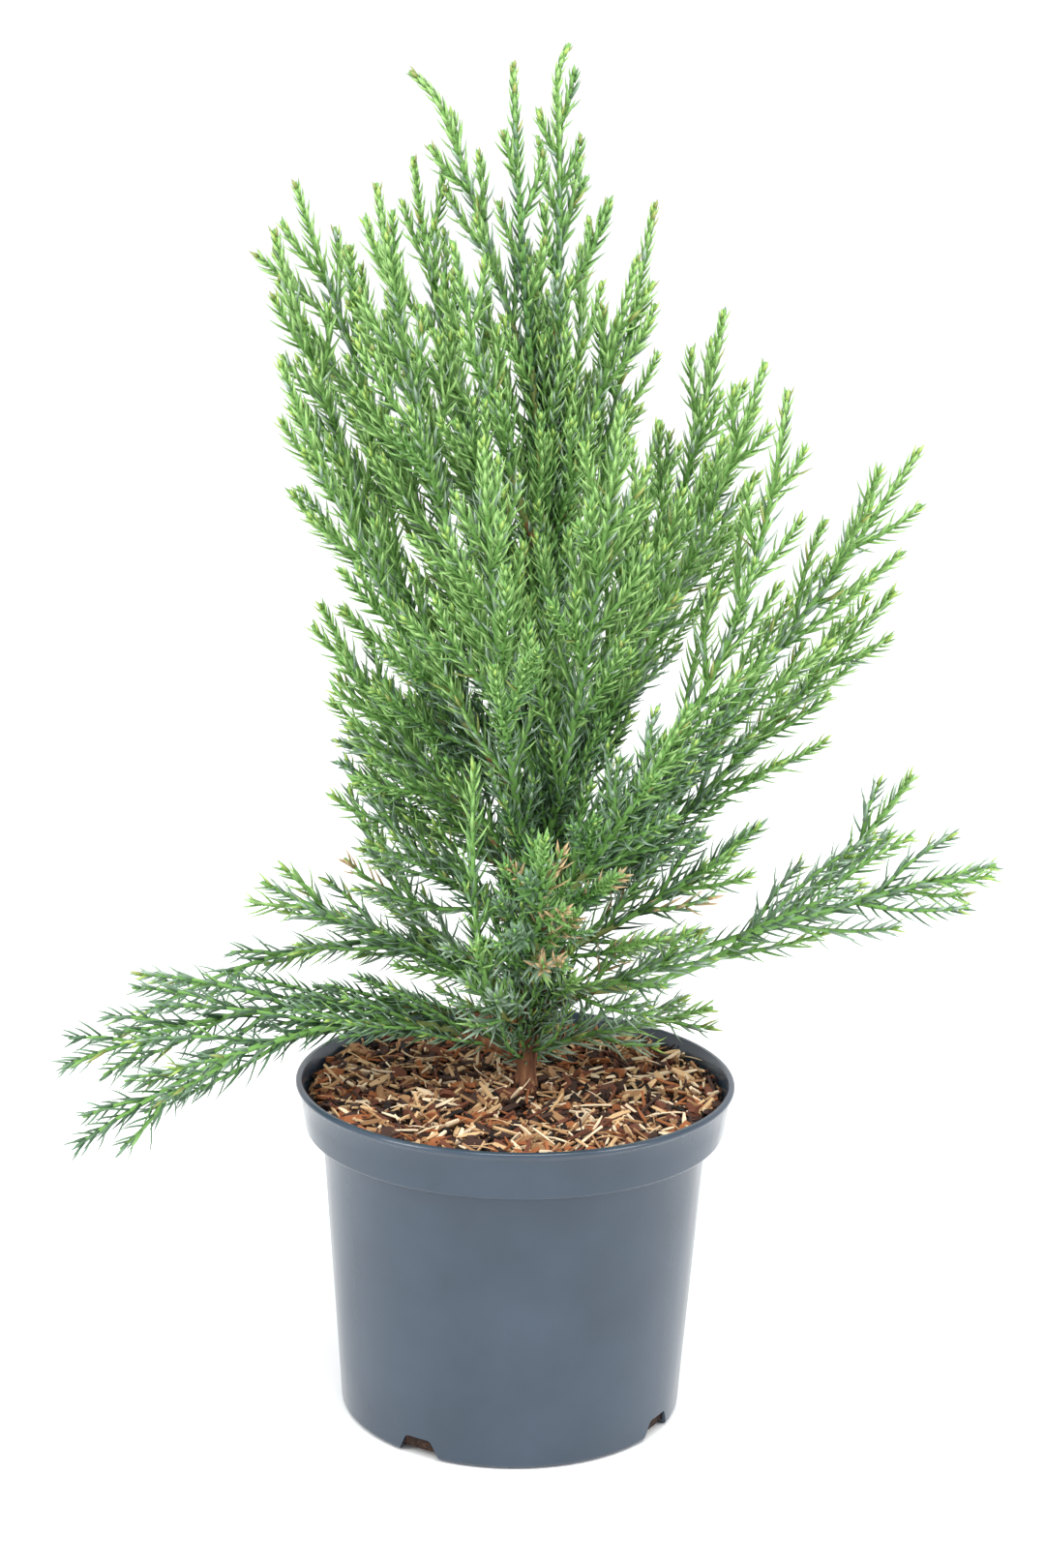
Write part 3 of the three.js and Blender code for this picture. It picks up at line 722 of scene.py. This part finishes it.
def needle_kinds(shoot, to_tip, dice):
    """The colours of each needle's sides: painted light and shade by the shoot's light, and paler
    towards its tip.
    """
    count = len(to_tip)
    stray = dice.normal(0, mix(*TONE_STRAY, min(3 * shoot.height, 1)), count)
    near_tip = np.clip(1 - to_tip / PALE_SPAN, 0, 1)
    # painted shade towards the shoot's root and painted light towards its tip
    tone = shoot.tone * TONES + mix(*PALE_TONES, near_tip) + stray
    kinds = np.clip(np.floor(tone), 0, TONES - 1).astype(int)
    # painted shade: the inner sides, which face the shoot, one tone darker
    inner = np.clip(kinds - (shoot.height > SHADED_INSIDES_FROM), 0, TONES - 1)
    fresh_share = shoot.fresh * np.clip(FRESH_START + FRESH_RISE * near_tip, 0, 1)
    fresh = TONES * (dice.random(count) < fresh_share)
    kinds += fresh
    inner += fresh
    # only tips of shoots with enough painted light get their own yellow-green and bud colours
    if shoot.tapers and shoot.tone > LIT_TONE:
        kinds[to_tip < TIP_LENGTH] = TIP
        kinds[to_tip < BUD_LENGTH * (shoot.height - BUDS_FROM)] = BUD
    for share, kind in ((OLIVE_SHARE, OLIVE), (shoot.dry, DRY)):
        chosen = dice.random(count) < share
        kinds[chosen] = inner[chosen] = kind
    outer = np.repeat(kinds[:, None], len(OUTER_FACES), axis=1)
    return np.concatenate([outer, np.repeat(inner[:, None], len(INNER_FACES), axis=1)], axis=1)


STEM_AXIS = (6, 5)  # sides of a stem's axis, and distance between its rings
FINE_AXIS = (4, 9)


def add_shoot_axis(heap, shoot, sides, step):
    """The green or woody axis of a shoot."""
    count = max(int(shoot.length / step), 2) + 1
    share = np.linspace(shoot.start, shoot.end, count)
    radii = np.linspace(*shoot.radii, count)
    points, faces = tube(shoot.path.at(share), radii, sides)
    ring = np.minimum(faces.min(axis=1) // sides / count, 1)
    woody = WOODY_SHARE if shoot.radii == STEM_RADII and not shoot.start else 0
    heap.add(points, faces, np.select([ring < woody, ring < 2 * woody], [2, 1], 0))


def make_foliage(sector, plumes, materials, shoot_materials):
    """The needles of one sector in one piece, and the axes of its shoots in another."""
    needles = Heap()
    axes = Heap()
    for plume in plumes:
        dice = np.random.default_rng(plume.index + NEEDLE_SEED)
        for shoot in plume.shoots:
            add_needles(needles, shoot, dice)
            if shoot.radii == STEM_RADII:
                add_shoot_axis(axes, shoot, *STEM_AXIS)
            elif shoot.radii in (TWIG_RADII, FINE_RADII):  # and not the trunk or a bough
                add_shoot_axis(axes, shoot, *FINE_AXIS)
    piece = needles.object(f"needles_{sector}", materials, "foliage")
    names = [f"foliage_{plume.name}" for plume in plumes if plume.name != "trunk"]
    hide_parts(*names)
    axes.object(f"shoots_{sector}", shoot_materials, "foliage")


# ---- trunk and boughs

TRUNK_SIDES, BOUGH_SIDES = 40, 14
TRUNK_STEP, BOUGH_STEP = 0.8, 1.3  # distance between rings of corners
TRUNK_RELIEF, BOUGH_RELIEF = 0.34, 0.16
TRUNK_SEED = 3
TRUNK_SUNK = 3  # how far below the ground its mesh starts
BOUGH_LAP = 0.01  # share of its path by which a bough runs on into its stem
KNOT_PLACE = 3.5  # how far out along a limb the collar is that joins it to the trunk
KNOT_SPREAD = 3.2
KNOT_HEIGHT = 1.1
WOODY_LOW, WOODY_FALL = 1.3, 4.5  # scale of BOUGH_GREENS by the height where a bough starts
WOODY_SPAN = (0.05, 1)


def bark_height(around, along, seed):
    """Height of the bark's long ridges and finer grain, from about -1 to 1."""
    x = math.cos(around) * 2.4
    y = math.sin(around) * 2.4
    ridges = noise.noise(Vector((x, y, along * 0.045 + seed)))
    grain = noise.noise(Vector((2.6 * x, 2.6 * y, along * 0.16 + seed)))
    return 0.65 * ridges + 0.5 * grain


def bark_tube(heap, path, shares, radii, sides, relief, seed, knots, greens):
    """A limb with the bark's relief, and a collar at each knot."""
    centres = path.at(shares)
    corners = np.empty((len(shares), sides))
    for i, (along, radius) in enumerate(zip(walk(centres), radii)):
        for k, around in enumerate(round_turn(sides)):
            corners[i, k] = radius + relief * bark_height(around, along, seed)
    points, faces = tube(centres, corners, sides)
    middles = np.repeat(centres, sides, axis=0)
    for knot in knots:
        away = np.linalg.norm(points - knot, axis=1)
        swell = KNOT_HEIGHT * np.exp(-(away / KNOT_SPREAD) ** 2)
        points += unit(points - middles) * swell[:, None]
    ring = np.minimum(faces.min(axis=1) // sides / len(shares), 1)
    heap.add(points, faces, np.digitize(ring, greens))


def make_wood(plumes, bark, green):
    """The trunk and its boughs, which turn olive and then green outwards, in bark's relief."""
    heights = np.arange(GROUND - TRUNK_SUNK, TRUNK_TIP[2] + 0.5, TRUNK_STEP)
    radii = trunk_radius(np.maximum(heights, GROUND))
    paths = [plume.path for plume in plumes if plume.name != "leader"]
    knots = [path.at(KNOT_PLACE / path.length()) for path in paths]
    trunk = Heap()
    bark_tube(
        trunk, TRUNK_PATH, trunk_share(heights), radii,
        TRUNK_SIDES, TRUNK_RELIEF, TRUNK_SEED, knots, TRUNK_GREENS,
    )
    piece = trunk.object("trunk_bark", [bark, *green], "bark")
    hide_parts("trunk")

    boughs = Heap()
    names = []
    for plume in plumes:
        if plume.bare:
            length = plume.path.length(0, plume.bare)
            shares = np.linspace(0, plume.bare + BOUGH_LAP, int(length / BOUGH_STEP))
            radii = np.linspace(*BOUGH_RADII, len(shares))
            woody = WOODY_LOW - WOODY_FALL * crown_height(plume.path.start)
            greens = np.clip(woody, *WOODY_SPAN) * np.array(BOUGH_GREENS)
            bark_tube(
                boughs, plume.path, shares, radii,
                BOUGH_SIDES, BOUGH_RELIEF, plume.index, (), greens,
            )
            names.append(f"bough_{plume.name}")
    piece = boughs.object("bough_bark", [bark, *green], "bark")
    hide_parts(*names)


# ---- pot

POT_SEGMENTS = 192
LIP_EDGE = 1.25  # radius of the rolled lip's edge
DRAIN_CORNER = 2.5
SHARP_ANGLE = 38  # edges over this many degrees stay sharp


def arc(centre, radius, start, end, steps):
    turn = np.radians(np.linspace(start, end, steps + 1))
    return [(centre[0] + radius * math.cos(t), centre[1] + radius * math.sin(t)) for t in turn]


def pot_profile():
    """The wall's section, from the underside's centre up the outside and down the inside."""
    inside = BAND_TOP_RADIUS - WALL
    lip_foot = RIM_HEIGHT - LIP_HEIGHT
    shares = [k / 6 for k in range(1, 6)]
    return [
        (0, 0),
        (BODY_FOOT_RADIUS - 9, 0),
        *arc((BODY_FOOT_RADIUS - CORNER_RADIUS, CORNER_RADIUS), CORNER_RADIUS, -90, -2, 6),
        *[(mix(BODY_FOOT_RADIUS, BODY_TOP_RADIUS, up), mix(4, SHOULDER_HEIGHT, up)) for up in shares],
        *arc((BODY_TOP_RADIUS + 1, SHOULDER_HEIGHT - 1), 1, 180, 90, 3),
        *arc((BAND_FOOT_RADIUS - BAND_FILLET, BAND_FOOT_HEIGHT), BAND_FILLET, -90, 0, 6),
        (mix(BAND_FOOT_RADIUS, BAND_TOP_RADIUS, 0.5), mix(BAND_FOOT_HEIGHT, lip_foot, 0.5)),
        (BAND_TOP_RADIUS - 0.1, lip_foot - 0.5),
        (BAND_TOP_RADIUS + 0.2, lip_foot),
        *arc((RIM_RADIUS - LIP_EDGE, RIM_HEIGHT - LIP_EDGE - 0.2), LIP_EDGE, -30, 90, 7),
        (inside + 0.8, RIM_HEIGHT - 0.2),
        (inside, RIM_HEIGHT - 1),
        (BAND_FOOT_RADIUS - WALL, BAND_FOOT_HEIGHT + 2 * WALL),
        (BODY_TOP_RADIUS - WALL, SHOULDER_HEIGHT + WALL),
        (BODY_FOOT_RADIUS - WALL, CORNER_RADIUS),
        (BODY_FOOT_RADIUS - CORNER_RADIUS, FLOOR),
        (0, FLOOR),
    ]


def turned_shell(profile, segments):
    """A closed body of revolution whose profile starts and ends on the axis."""
    rings = np.array(profile[1:-1], float)
    turn = round_turn(segments)
    points = np.stack([
        np.outer(rings[:, 0], np.cos(turn)),
        np.outer(rings[:, 0], np.sin(turn)),
        np.repeat(rings[:, 1:], segments, axis=1),
    ], axis=-1).reshape(-1, 3)
    band = ring_faces(len(rings), segments)[: 2 * segments * (len(rings) - 1)]
    foot, top = len(points), len(points) + 1
    points = np.concatenate([points, [(0, 0, profile[0][1]), (0, 0, profile[-1][1])]])
    k = np.arange(segments)
    last = (len(rings) - 1) * segments
    under = np.stack([np.full(segments, foot), (k + 1) % segments, k], axis=-1)
    over = np.stack([np.full(segments, top), last + k, last + (k + 1) % segments], axis=-1)
    return points, np.concatenate([band, under, over])


def drain_cutter(turn):
    """A round-shouldered block that cuts one drain slot from outside the wall."""
    half, shoulder = DRAIN_WIDTH / 2, DRAIN_TOP_WIDTH / 2 - DRAIN_CORNER + 1
    outline = [(-half, -1), (half, -1)]
    outline += arc((shoulder, DRAIN_HEIGHT - DRAIN_CORNER), DRAIN_CORNER, 20, 90, 4)
    outline += arc((-shoulder, DRAIN_HEIGHT - DRAIN_CORNER), DRAIN_CORNER, 90, 160, 4)
    near, far = BODY_FOOT_RADIUS + WALL + 2, BODY_FOOT_RADIUS - DRAIN_DEPTH
    way, side = compass(turn, 0), compass(turn + 90, 0)
    rings = [[way * out + side * x + UP * z for x, z in outline] for out in (far, near)]
    heap = Heap()
    heap.add(np.array(rings).reshape(-1, 3), ring_faces(2, len(outline)), 0)
    return heap


def make_pot(plastic):
    """The turned shell, with its drain slots cut through the foot."""
    heap = Heap()
    heap.add(*turned_shell(pot_profile(), POT_SEGMENTS), 0)
    pot = heap.object("pot_shell", [plastic], "pot")
    cutters = []
    for k in range(DRAINS):
        cutter = drain_cutter(DRAIN_TURN + 360 * k / DRAINS).object(f"cutter_{k}", [], "pot")
        cutters.append(cutter)
        cut = pot.modifiers.new("drain", "BOOLEAN")
        cut.operation = "DIFFERENCE"
        cut.solver = "EXACT"
        cut.object = cutter
    shape = bpy.data.meshes.new_from_object(pot.evaluated_get(bpy.context.evaluated_depsgraph_get()))
    pot.modifiers.clear()
    pot.data = shape
    for cutter in cutters:
        bpy.data.objects.remove(cutter)
    shape.set_sharp_from_angle(angle=math.radians(SHARP_ANGLE))
    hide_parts("pot")


# ---- mulch

MULCH_RADIUS = 82.5
EDGE_RISE = 2.2  # how much the mulch is heaped up along the wall
MULCH_COLOURS = {
    "mulch_cream": (226, 204, 172),
    "mulch_straw": (200, 166, 124),
    "mulch_tan": (158, 120, 84),
    "mulch_rust": (148, 90, 54),
    "mulch_red": (104, 62, 46),
    "mulch_umber": (64, 45, 38),
    "mulch_black": (32, 25, 23),
}
MULCH_SEED = 5
BED_DEPTH = 1.2  # how far the bed under the mulch lies below the soil's height
BED_WAVES = 1.1
BED_ROOM = 0.5  # between the bed and the wall
BED_RINGS = 44
BED_SEGMENTS = 120

# Chips: spans of their length, width and thickness, and how many there are
CHUNK_SIZE, CHUNKS = ((4, 12), (2.4, 6), (1, 2.6)), 460
LONG_SIZE, LONG_SPLINTERS = ((9, 18), (1.2, 2.8), (0.6, 1.3)), 240
SHORT_SIZE, SHORT_SPLINTERS = ((4, 11), (0.7, 1.9), (0.4, 1)), 1250
CHIP_RINGS = 4
CHIP_TAPER = 0.45
CHIP_CORNERS = ((1, -1), (1, 0.8), (-1, 1), (-1, -0.8))  # aside and above its middle

CRUMB_LENGTH, CRUMBS = 2, 3200
FIBRE_LENGTH, FIBRES = (7, 21), 70
FIBRE_RADII = np.array([0.1, 0.24, 0.3, 0.3, 0.28, 0.22, 0.1])
FIBRE_ARCH = 0.9

# How each kind lies: the spread of its tilt in degrees, and its height above the bed
CHUNK_LIE, SPLINTER_LIE = (20, (0.6, 2.8)), (22, (0.8, 4))
CRUMB_LIE, FIBRE_LIE = (10, (0, 2.4)), (9, (2.2, 4.2))


def mulch_kinds(**weights):
    """The numbers of some of the mulch's colours, each as often as its weight says."""
    names = list(MULCH_COLOURS)
    return [names.index(f"mulch_{name}") for name in weights for _ in range(weights[name])]


CHUNK_KINDS = mulch_kinds(red=4, rust=3, umber=5, tan=2, black=3)
SPLINTER_KINDS = mulch_kinds(cream=5, straw=6, tan=5, rust=3, red=3, umber=3)
CRUMB_KINDS = mulch_kinds(black=6, umber=5, red=2, rust=1, tan=1)
FIBRE_KINDS = mulch_kinds(cream=2, straw=4, tan=3)


def ground_noise(x, y, size, seed):
    return noise.noise(Vector((x / size, y / size, seed)))


def soil_level(x, y):
    """Height of the bed under the mulch."""
    out = math.hypot(x, y) / MULCH_RADIUS
    crown = SOIL_CROWN * (1 - out) + EDGE_RISE * out**4
    waves = ground_noise(x, y, 16, 2) + 0.5 * ground_noise(x, y, 6, 5)
    return SOIL_HEIGHT - BED_DEPTH + crown + BED_WAVES * waves


def make_soil_bed(soil):
    """The dark, crumbly bed that the mulch lies on, down to the pot's floor; its darkness is partly
    painted shade for the gaps.
    """
    side = [
        (BODY_FOOT_RADIUS - CORNER_RADIUS - BED_ROOM, FLOOR + GAP),
        (BODY_FOOT_RADIUS - WALL - BED_ROOM, CORNER_RADIUS + GAP),
        (BODY_TOP_RADIUS - WALL - BED_ROOM, SHOULDER_HEIGHT + WALL),
        (BAND_FOOT_RADIUS - WALL - BED_ROOM, BAND_FOOT_HEIGHT + 2 * WALL + BED_ROOM),
    ]
    top = [(MULCH_RADIUS * (1 - k / BED_RINGS), SOIL_HEIGHT) for k in range(BED_RINGS)]
    profile = [(0, FLOOR + GAP), *side, *top, (0, SOIL_HEIGHT)]
    points, faces = turned_shell(profile, BED_SEGMENTS)
    for point in points:
        if point[2] >= SOIL_HEIGHT:
            x, y = point[:2]
            point[2] = soil_level(x, y) + 0.5 * ground_noise(x, y, 1.7, 9)
    heap = Heap()
    heap.add(points, faces, 0)
    piece = heap.object("soil_bed", [soil], "soil")
    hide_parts("soil")


def lying(dice, length, tilt, lift):
    """A place on the mulch for a piece of some length: its centre, heading and side."""
    while True:
        out = MULCH_RADIUS * math.sqrt(dice.random())
        way = dice.uniform(0, 2 * math.pi)
        x, y = out * math.cos(way), out * math.sin(way)
        turn = dice.uniform(0, math.pi)
        rise = math.radians(dice.normal(0, tilt))
        flat = math.cos(rise)
        heading = np.array([math.cos(turn) * flat, math.sin(turn) * flat, math.sin(rise)])
        centre = np.array([x, y, soil_level(x, y) + dice.uniform(*lift)])
        ends = [centre + heading * length / 2, centre - heading * length / 2]
        near_trunk = math.hypot(x - TRUNK_FOOT[0], y - TRUNK_FOOT[1]) < FLARE_RADIUS
        if not near_trunk and all(math.hypot(*end[:2]) < MULCH_RADIUS + 0.6 for end in ends):
            side = unit(np.cross(heading, turned(heading, 90, 90 + dice.normal(0, tilt * 1.6))))
            return centre, heading, side


def add_chip(heap, dice, size, lie, kinds):
    """A flat, slightly bent sliver or chunk of bark with uneven edges."""
    length, width, thickness = (dice.uniform(*span) for span in size)
    centre, heading, side = lying(dice, length, *lie)
    over = np.cross(side, heading)
    bow = dice.normal(0, 0.02) * length
    sway = dice.normal(0, 0.015) * length
    rings = []
    for k in range(CHIP_RINGS):
        u = 2 * k / (CHIP_RINGS - 1) - 1
        arch = 1 - u * u
        half = width / 2 * (1 - CHIP_TAPER * abs(u) ** 3) * dice.uniform(0.75, 1.15)
        thick = thickness / 2 * dice.uniform(0.7, 1.15)
        middle = centre + heading * (u * length / 2) + over * bow * arch + side * sway * arch
        for a, b in CHIP_CORNERS:
            aside = side * (half * a * dice.uniform(0.85, 1.1))
            rings.append(middle + aside + over * (thick * b * dice.uniform(0.8, 1.2)))
    faces = ring_faces(CHIP_RINGS, len(CHIP_CORNERS))[:, ::-1]
    heap.add(np.array(rings), faces, dice.choice(kinds))


def add_fibre(heap, dice):
    """A thin curved shred of bark."""
    length = dice.uniform(*FIBRE_LENGTH)
    centre, heading, side = lying(dice, length, *FIBRE_LIE)
    bow = dice.normal(0, 0.12) * length
    u = np.linspace(-1, 1, len(FIBRE_RADII))[:, None]
    arch = 1 - u * u
    spine = centre + heading * (u * length / 2) + side * bow * arch + UP * FIBRE_ARCH * arch
    points, faces = tube(spine, FIBRE_RADII, 4)
    heap.add(points, faces, dice.choice(FIBRE_KINDS))


CRUMB = np.array([(1, 0, 0), (0, 1, 0), (-1, 0, 0), (0, -1, 0), (0, 0, 1), (0, 0, -1)], float)
CRUMB_FACES = np.array([
    (0, 1, 4), (1, 2, 4), (2, 3, 4), (3, 0, 4), (1, 0, 5), (2, 1, 5), (3, 2, 5), (0, 3, 5),
])


def make_mulch(colours):
    """Crumbs, chunks, splinters and fibres of bark, each kind in one joined piece."""
    dice = np.random.default_rng(MULCH_SEED)
    crumbs, chunks, splinters, fibres = (Heap() for _ in range(4))
    for _ in range(CRUMBS):
        centre, _, _ = lying(dice, CRUMB_LENGTH, *CRUMB_LIE)
        points = CRUMB * dice.uniform(0.5, 1.6, 3) * dice.uniform(0.75, 1.2, (6, 1))
        crumbs.add(centre + points, CRUMB_FACES, dice.choice(CRUMB_KINDS))
    for _ in range(CHUNKS):
        add_chip(chunks, dice, CHUNK_SIZE, CHUNK_LIE, CHUNK_KINDS)
    for size, count in ((LONG_SIZE, LONG_SPLINTERS), (SHORT_SIZE, SHORT_SPLINTERS)):
        for _ in range(count):
            add_chip(splinters, dice, size, SPLINTER_LIE, SPLINTER_KINDS)
    for _ in range(FIBRES):
        add_fibre(fibres, dice)
    crumbs.object("mulch_crumbs", colours, "soil", smooth=False)
    chunks.object("mulch_chunks", colours, "soil", smooth=False)
    splinters.object("mulch_splinters", colours, "soil", smooth=False)
    fibres.object("mulch_fibres", colours, "soil")


# ---- node-built finishes


def noise_node(tree, scale, detail, stretch=(1, 1, 1)):
    """Noise over the piece's own coordinates, with a size in features per metre."""
    place = tree.nodes.new("ShaderNodeTexCoord")
    mapping = tree.nodes.new("ShaderNodeMapping")
    mapping.inputs["Scale"].default_value = stretch
    texture = tree.nodes.new("ShaderNodeTexNoise")
    texture.inputs["Scale"].default_value = scale
    texture.inputs["Detail"].default_value = detail
    tree.links.new(place.outputs["Object"], mapping.inputs["Vector"])
    tree.links.new(mapping.outputs["Vector"], texture.inputs["Vector"])
    return texture.outputs["Fac"]


def ramp_node(tree, value, stops):
    ramp = tree.nodes.new("ShaderNodeValToRGB")
    while len(ramp.color_ramp.elements) < len(stops):
        ramp.color_ramp.elements.new(0.5)
    for element, (place, colour) in zip(ramp.color_ramp.elements, stops):
        element.position = place
        element.color = colour
    tree.links.new(value, ramp.inputs["Fac"])
    return ramp.outputs["Color"]


def grey(value):
    return (value, value, value, 1)


def bump_node(tree, height, distance, strength):
    bump = tree.nodes.new("ShaderNodeBump")
    bump.inputs["Distance"].default_value = distance
    bump.inputs["Strength"].default_value = strength
    tree.links.new(height, bump.inputs["Height"])
    return bump.outputs["Normal"]


def make_plastic():
    """Slate moulded plastic: a soft gloss, faint streaks down the wall and fine grain."""
    made = finish("pot_plastic", (46, 60, 74), 0.2)
    tree = made.node_tree
    shader = tree.nodes["Principled BSDF"]
    cloud = noise_node(tree, 26, 4)
    colour = ramp_node(tree, cloud, [(0.3, srgb(43, 56, 70)), (0.7, srgb(50, 64, 79))])
    tree.links.new(colour, shader.inputs["Base Color"])
    streaks = noise_node(tree, 160, 5, (1, 1, 0.08))
    gloss = ramp_node(tree, streaks, [(0.3, grey(0.14)), (0.75, grey(0.25))])
    tree.links.new(gloss, shader.inputs["Roughness"])
    grain = noise_node(tree, 900, 3)
    tree.links.new(bump_node(tree, grain, 0.0002, 0.25), shader.inputs["Normal"])
    return made


def grained(name, colour, roughness, specular, texture, stops, relief):
    """A finish whose colours and relief follow the same noise."""
    made = finish(name, colour, roughness, specular)
    tree = made.node_tree
    shader = tree.nodes["Principled BSDF"]
    grain = noise_node(tree, *texture)
    tree.links.new(ramp_node(tree, grain, stops), shader.inputs["Base Color"])
    tree.links.new(bump_node(tree, grain, *relief), shader.inputs["Normal"])
    return made


def make_bark():
    """Reddish brown bark in long strips, paler on its ridges."""
    stops = [(0.3, srgb(70, 45, 34)), (0.5, srgb(118, 78, 54)), (0.72, srgb(166, 120, 84))]
    strips = (420, 6, (1, 1, 0.12))
    return grained("bark", (120, 80, 54), 0.82, 0.3, strips, stops, (0.0004, 0.6))


def make_earth():
    """Dark humus between the bark, darkened further as painted shade for the gaps between the chips.
    """
    stops = [(0.32, srgb(26, 18, 15)), (0.55, srgb(52, 36, 28)), (0.75, srgb(88, 60, 42))]
    return grained("earth", (44, 32, 26), 0.9, 0.25, (700, 6), stops, (0.0008, 0.8))


# ---- stage, lights, camera

# Places and sizes of the stage, lights and camera are in metres
FLOOR_HALF = 14.0
FLOOR_DROP = 0.0003
CAMERA_PLACE = (0, -1.1089, 0.5283)
CAMERA_PITCH = 0.2404  # radians that it looks down
CAMERA_ROLL = 0.0187
CAMERA_YAW = -0.0006
CAMERA_LENS = 67.42


def make_stage():
    """A wide, pale floor."""
    mesh = bpy.data.meshes.new("floor")
    corners = [(x * FLOOR_HALF, y * FLOOR_HALF, 0) for x, y in ((-1, -1), (1, -1), (1, 1), (-1, 1))]
    mesh.from_pydata(corners, [], [(0, 1, 2, 3)])
    mesh.materials.append(finish("floor_white", (250, 251, 252), 0.6, 0.2))
    floor = add_object("floor", mesh)
    floor.location.z = -FLOOR_DROP


def area_light(name, place, target, size, power):
    light = bpy.data.lights.new(name, "AREA")
    light.shape = "RECTANGLE"
    light.size, light.size_y = size
    light.energy = power
    lamp = add_object(name, light)
    lamp.location = place
    lamp.rotation_euler = (Vector(target) - Vector(place)).to_track_quat("-Z", "Y").to_euler()


def make_lights():
    """A bright room, with a soft box at either side of the front and one above."""
    world = bpy.data.worlds.new("studio")
    world.use_nodes = True
    background = world.node_tree.nodes["Background"]
    background.inputs["Color"].default_value = (1, 1, 1, 1)
    background.inputs["Strength"].default_value = 1.08
    bpy.context.scene.world = world
    middle = (0, 0, 0.25)
    area_light("soft_box_left", (-1.3, -0.8, 0.9), middle, (0.6, 1.2), 16)
    area_light("soft_box_right", (1.3, -0.8, 0.9), middle, (0.6, 1.2), 14)
    area_light("soft_box_above", (0.1, -0.7, 1.9), middle, (1.2, 0.8), 22)


def make_camera():
    camera = bpy.data.cameras.new("camera")
    camera.lens = CAMERA_LENS
    camera.clip_start = 0.05
    camera.clip_end = 60
    shown = add_object("camera", camera)
    turn = Matrix.Rotation(CAMERA_YAW, 4, "Z") @ Matrix.Rotation(math.pi / 2 - CAMERA_PITCH, 4, "X")
    shown.matrix_world = Matrix.Translation(CAMERA_PLACE) @ turn @ Matrix.Rotation(CAMERA_ROLL, 4, "Z")
    bpy.context.scene.camera = shown


# ---- the whole thing

bpy.context.scene.view_settings.view_transform = "Standard"
make_camera()
make_lights()
make_stage()

needle_finishes = finishes(NEEDLE_COLOURS, 0.46, 0.4)
shoot_finishes = finishes(SHOOT_COLOURS, 0.6, 0.3)
mulch_finishes = finishes(MULCH_COLOURS, 0.85, 0.3)

numbers = itertools.count()
crown = {sector: [Plume(next(numbers), row) for row in rows] for sector, rows in SECTORS.items()}
all_plumes = sum(crown.values(), [])
trunk_row = ("trunk", TRUNK_TIP[2], 0, 5, TRUNK_TIP[2] + 5, 80, 0, 0, 0)  # a row without twigs
crown["back"].append(TrunkShoots(next(numbers), trunk_row))
for sector, plumes in crown.items():
    make_foliage(sector, plumes, needle_finishes, shoot_finishes)

make_wood(all_plumes, make_bark(), shoot_finishes[1::-1])
make_pot(make_plastic())
make_soil_bed(make_earth())
make_mulch(mulch_finishes)
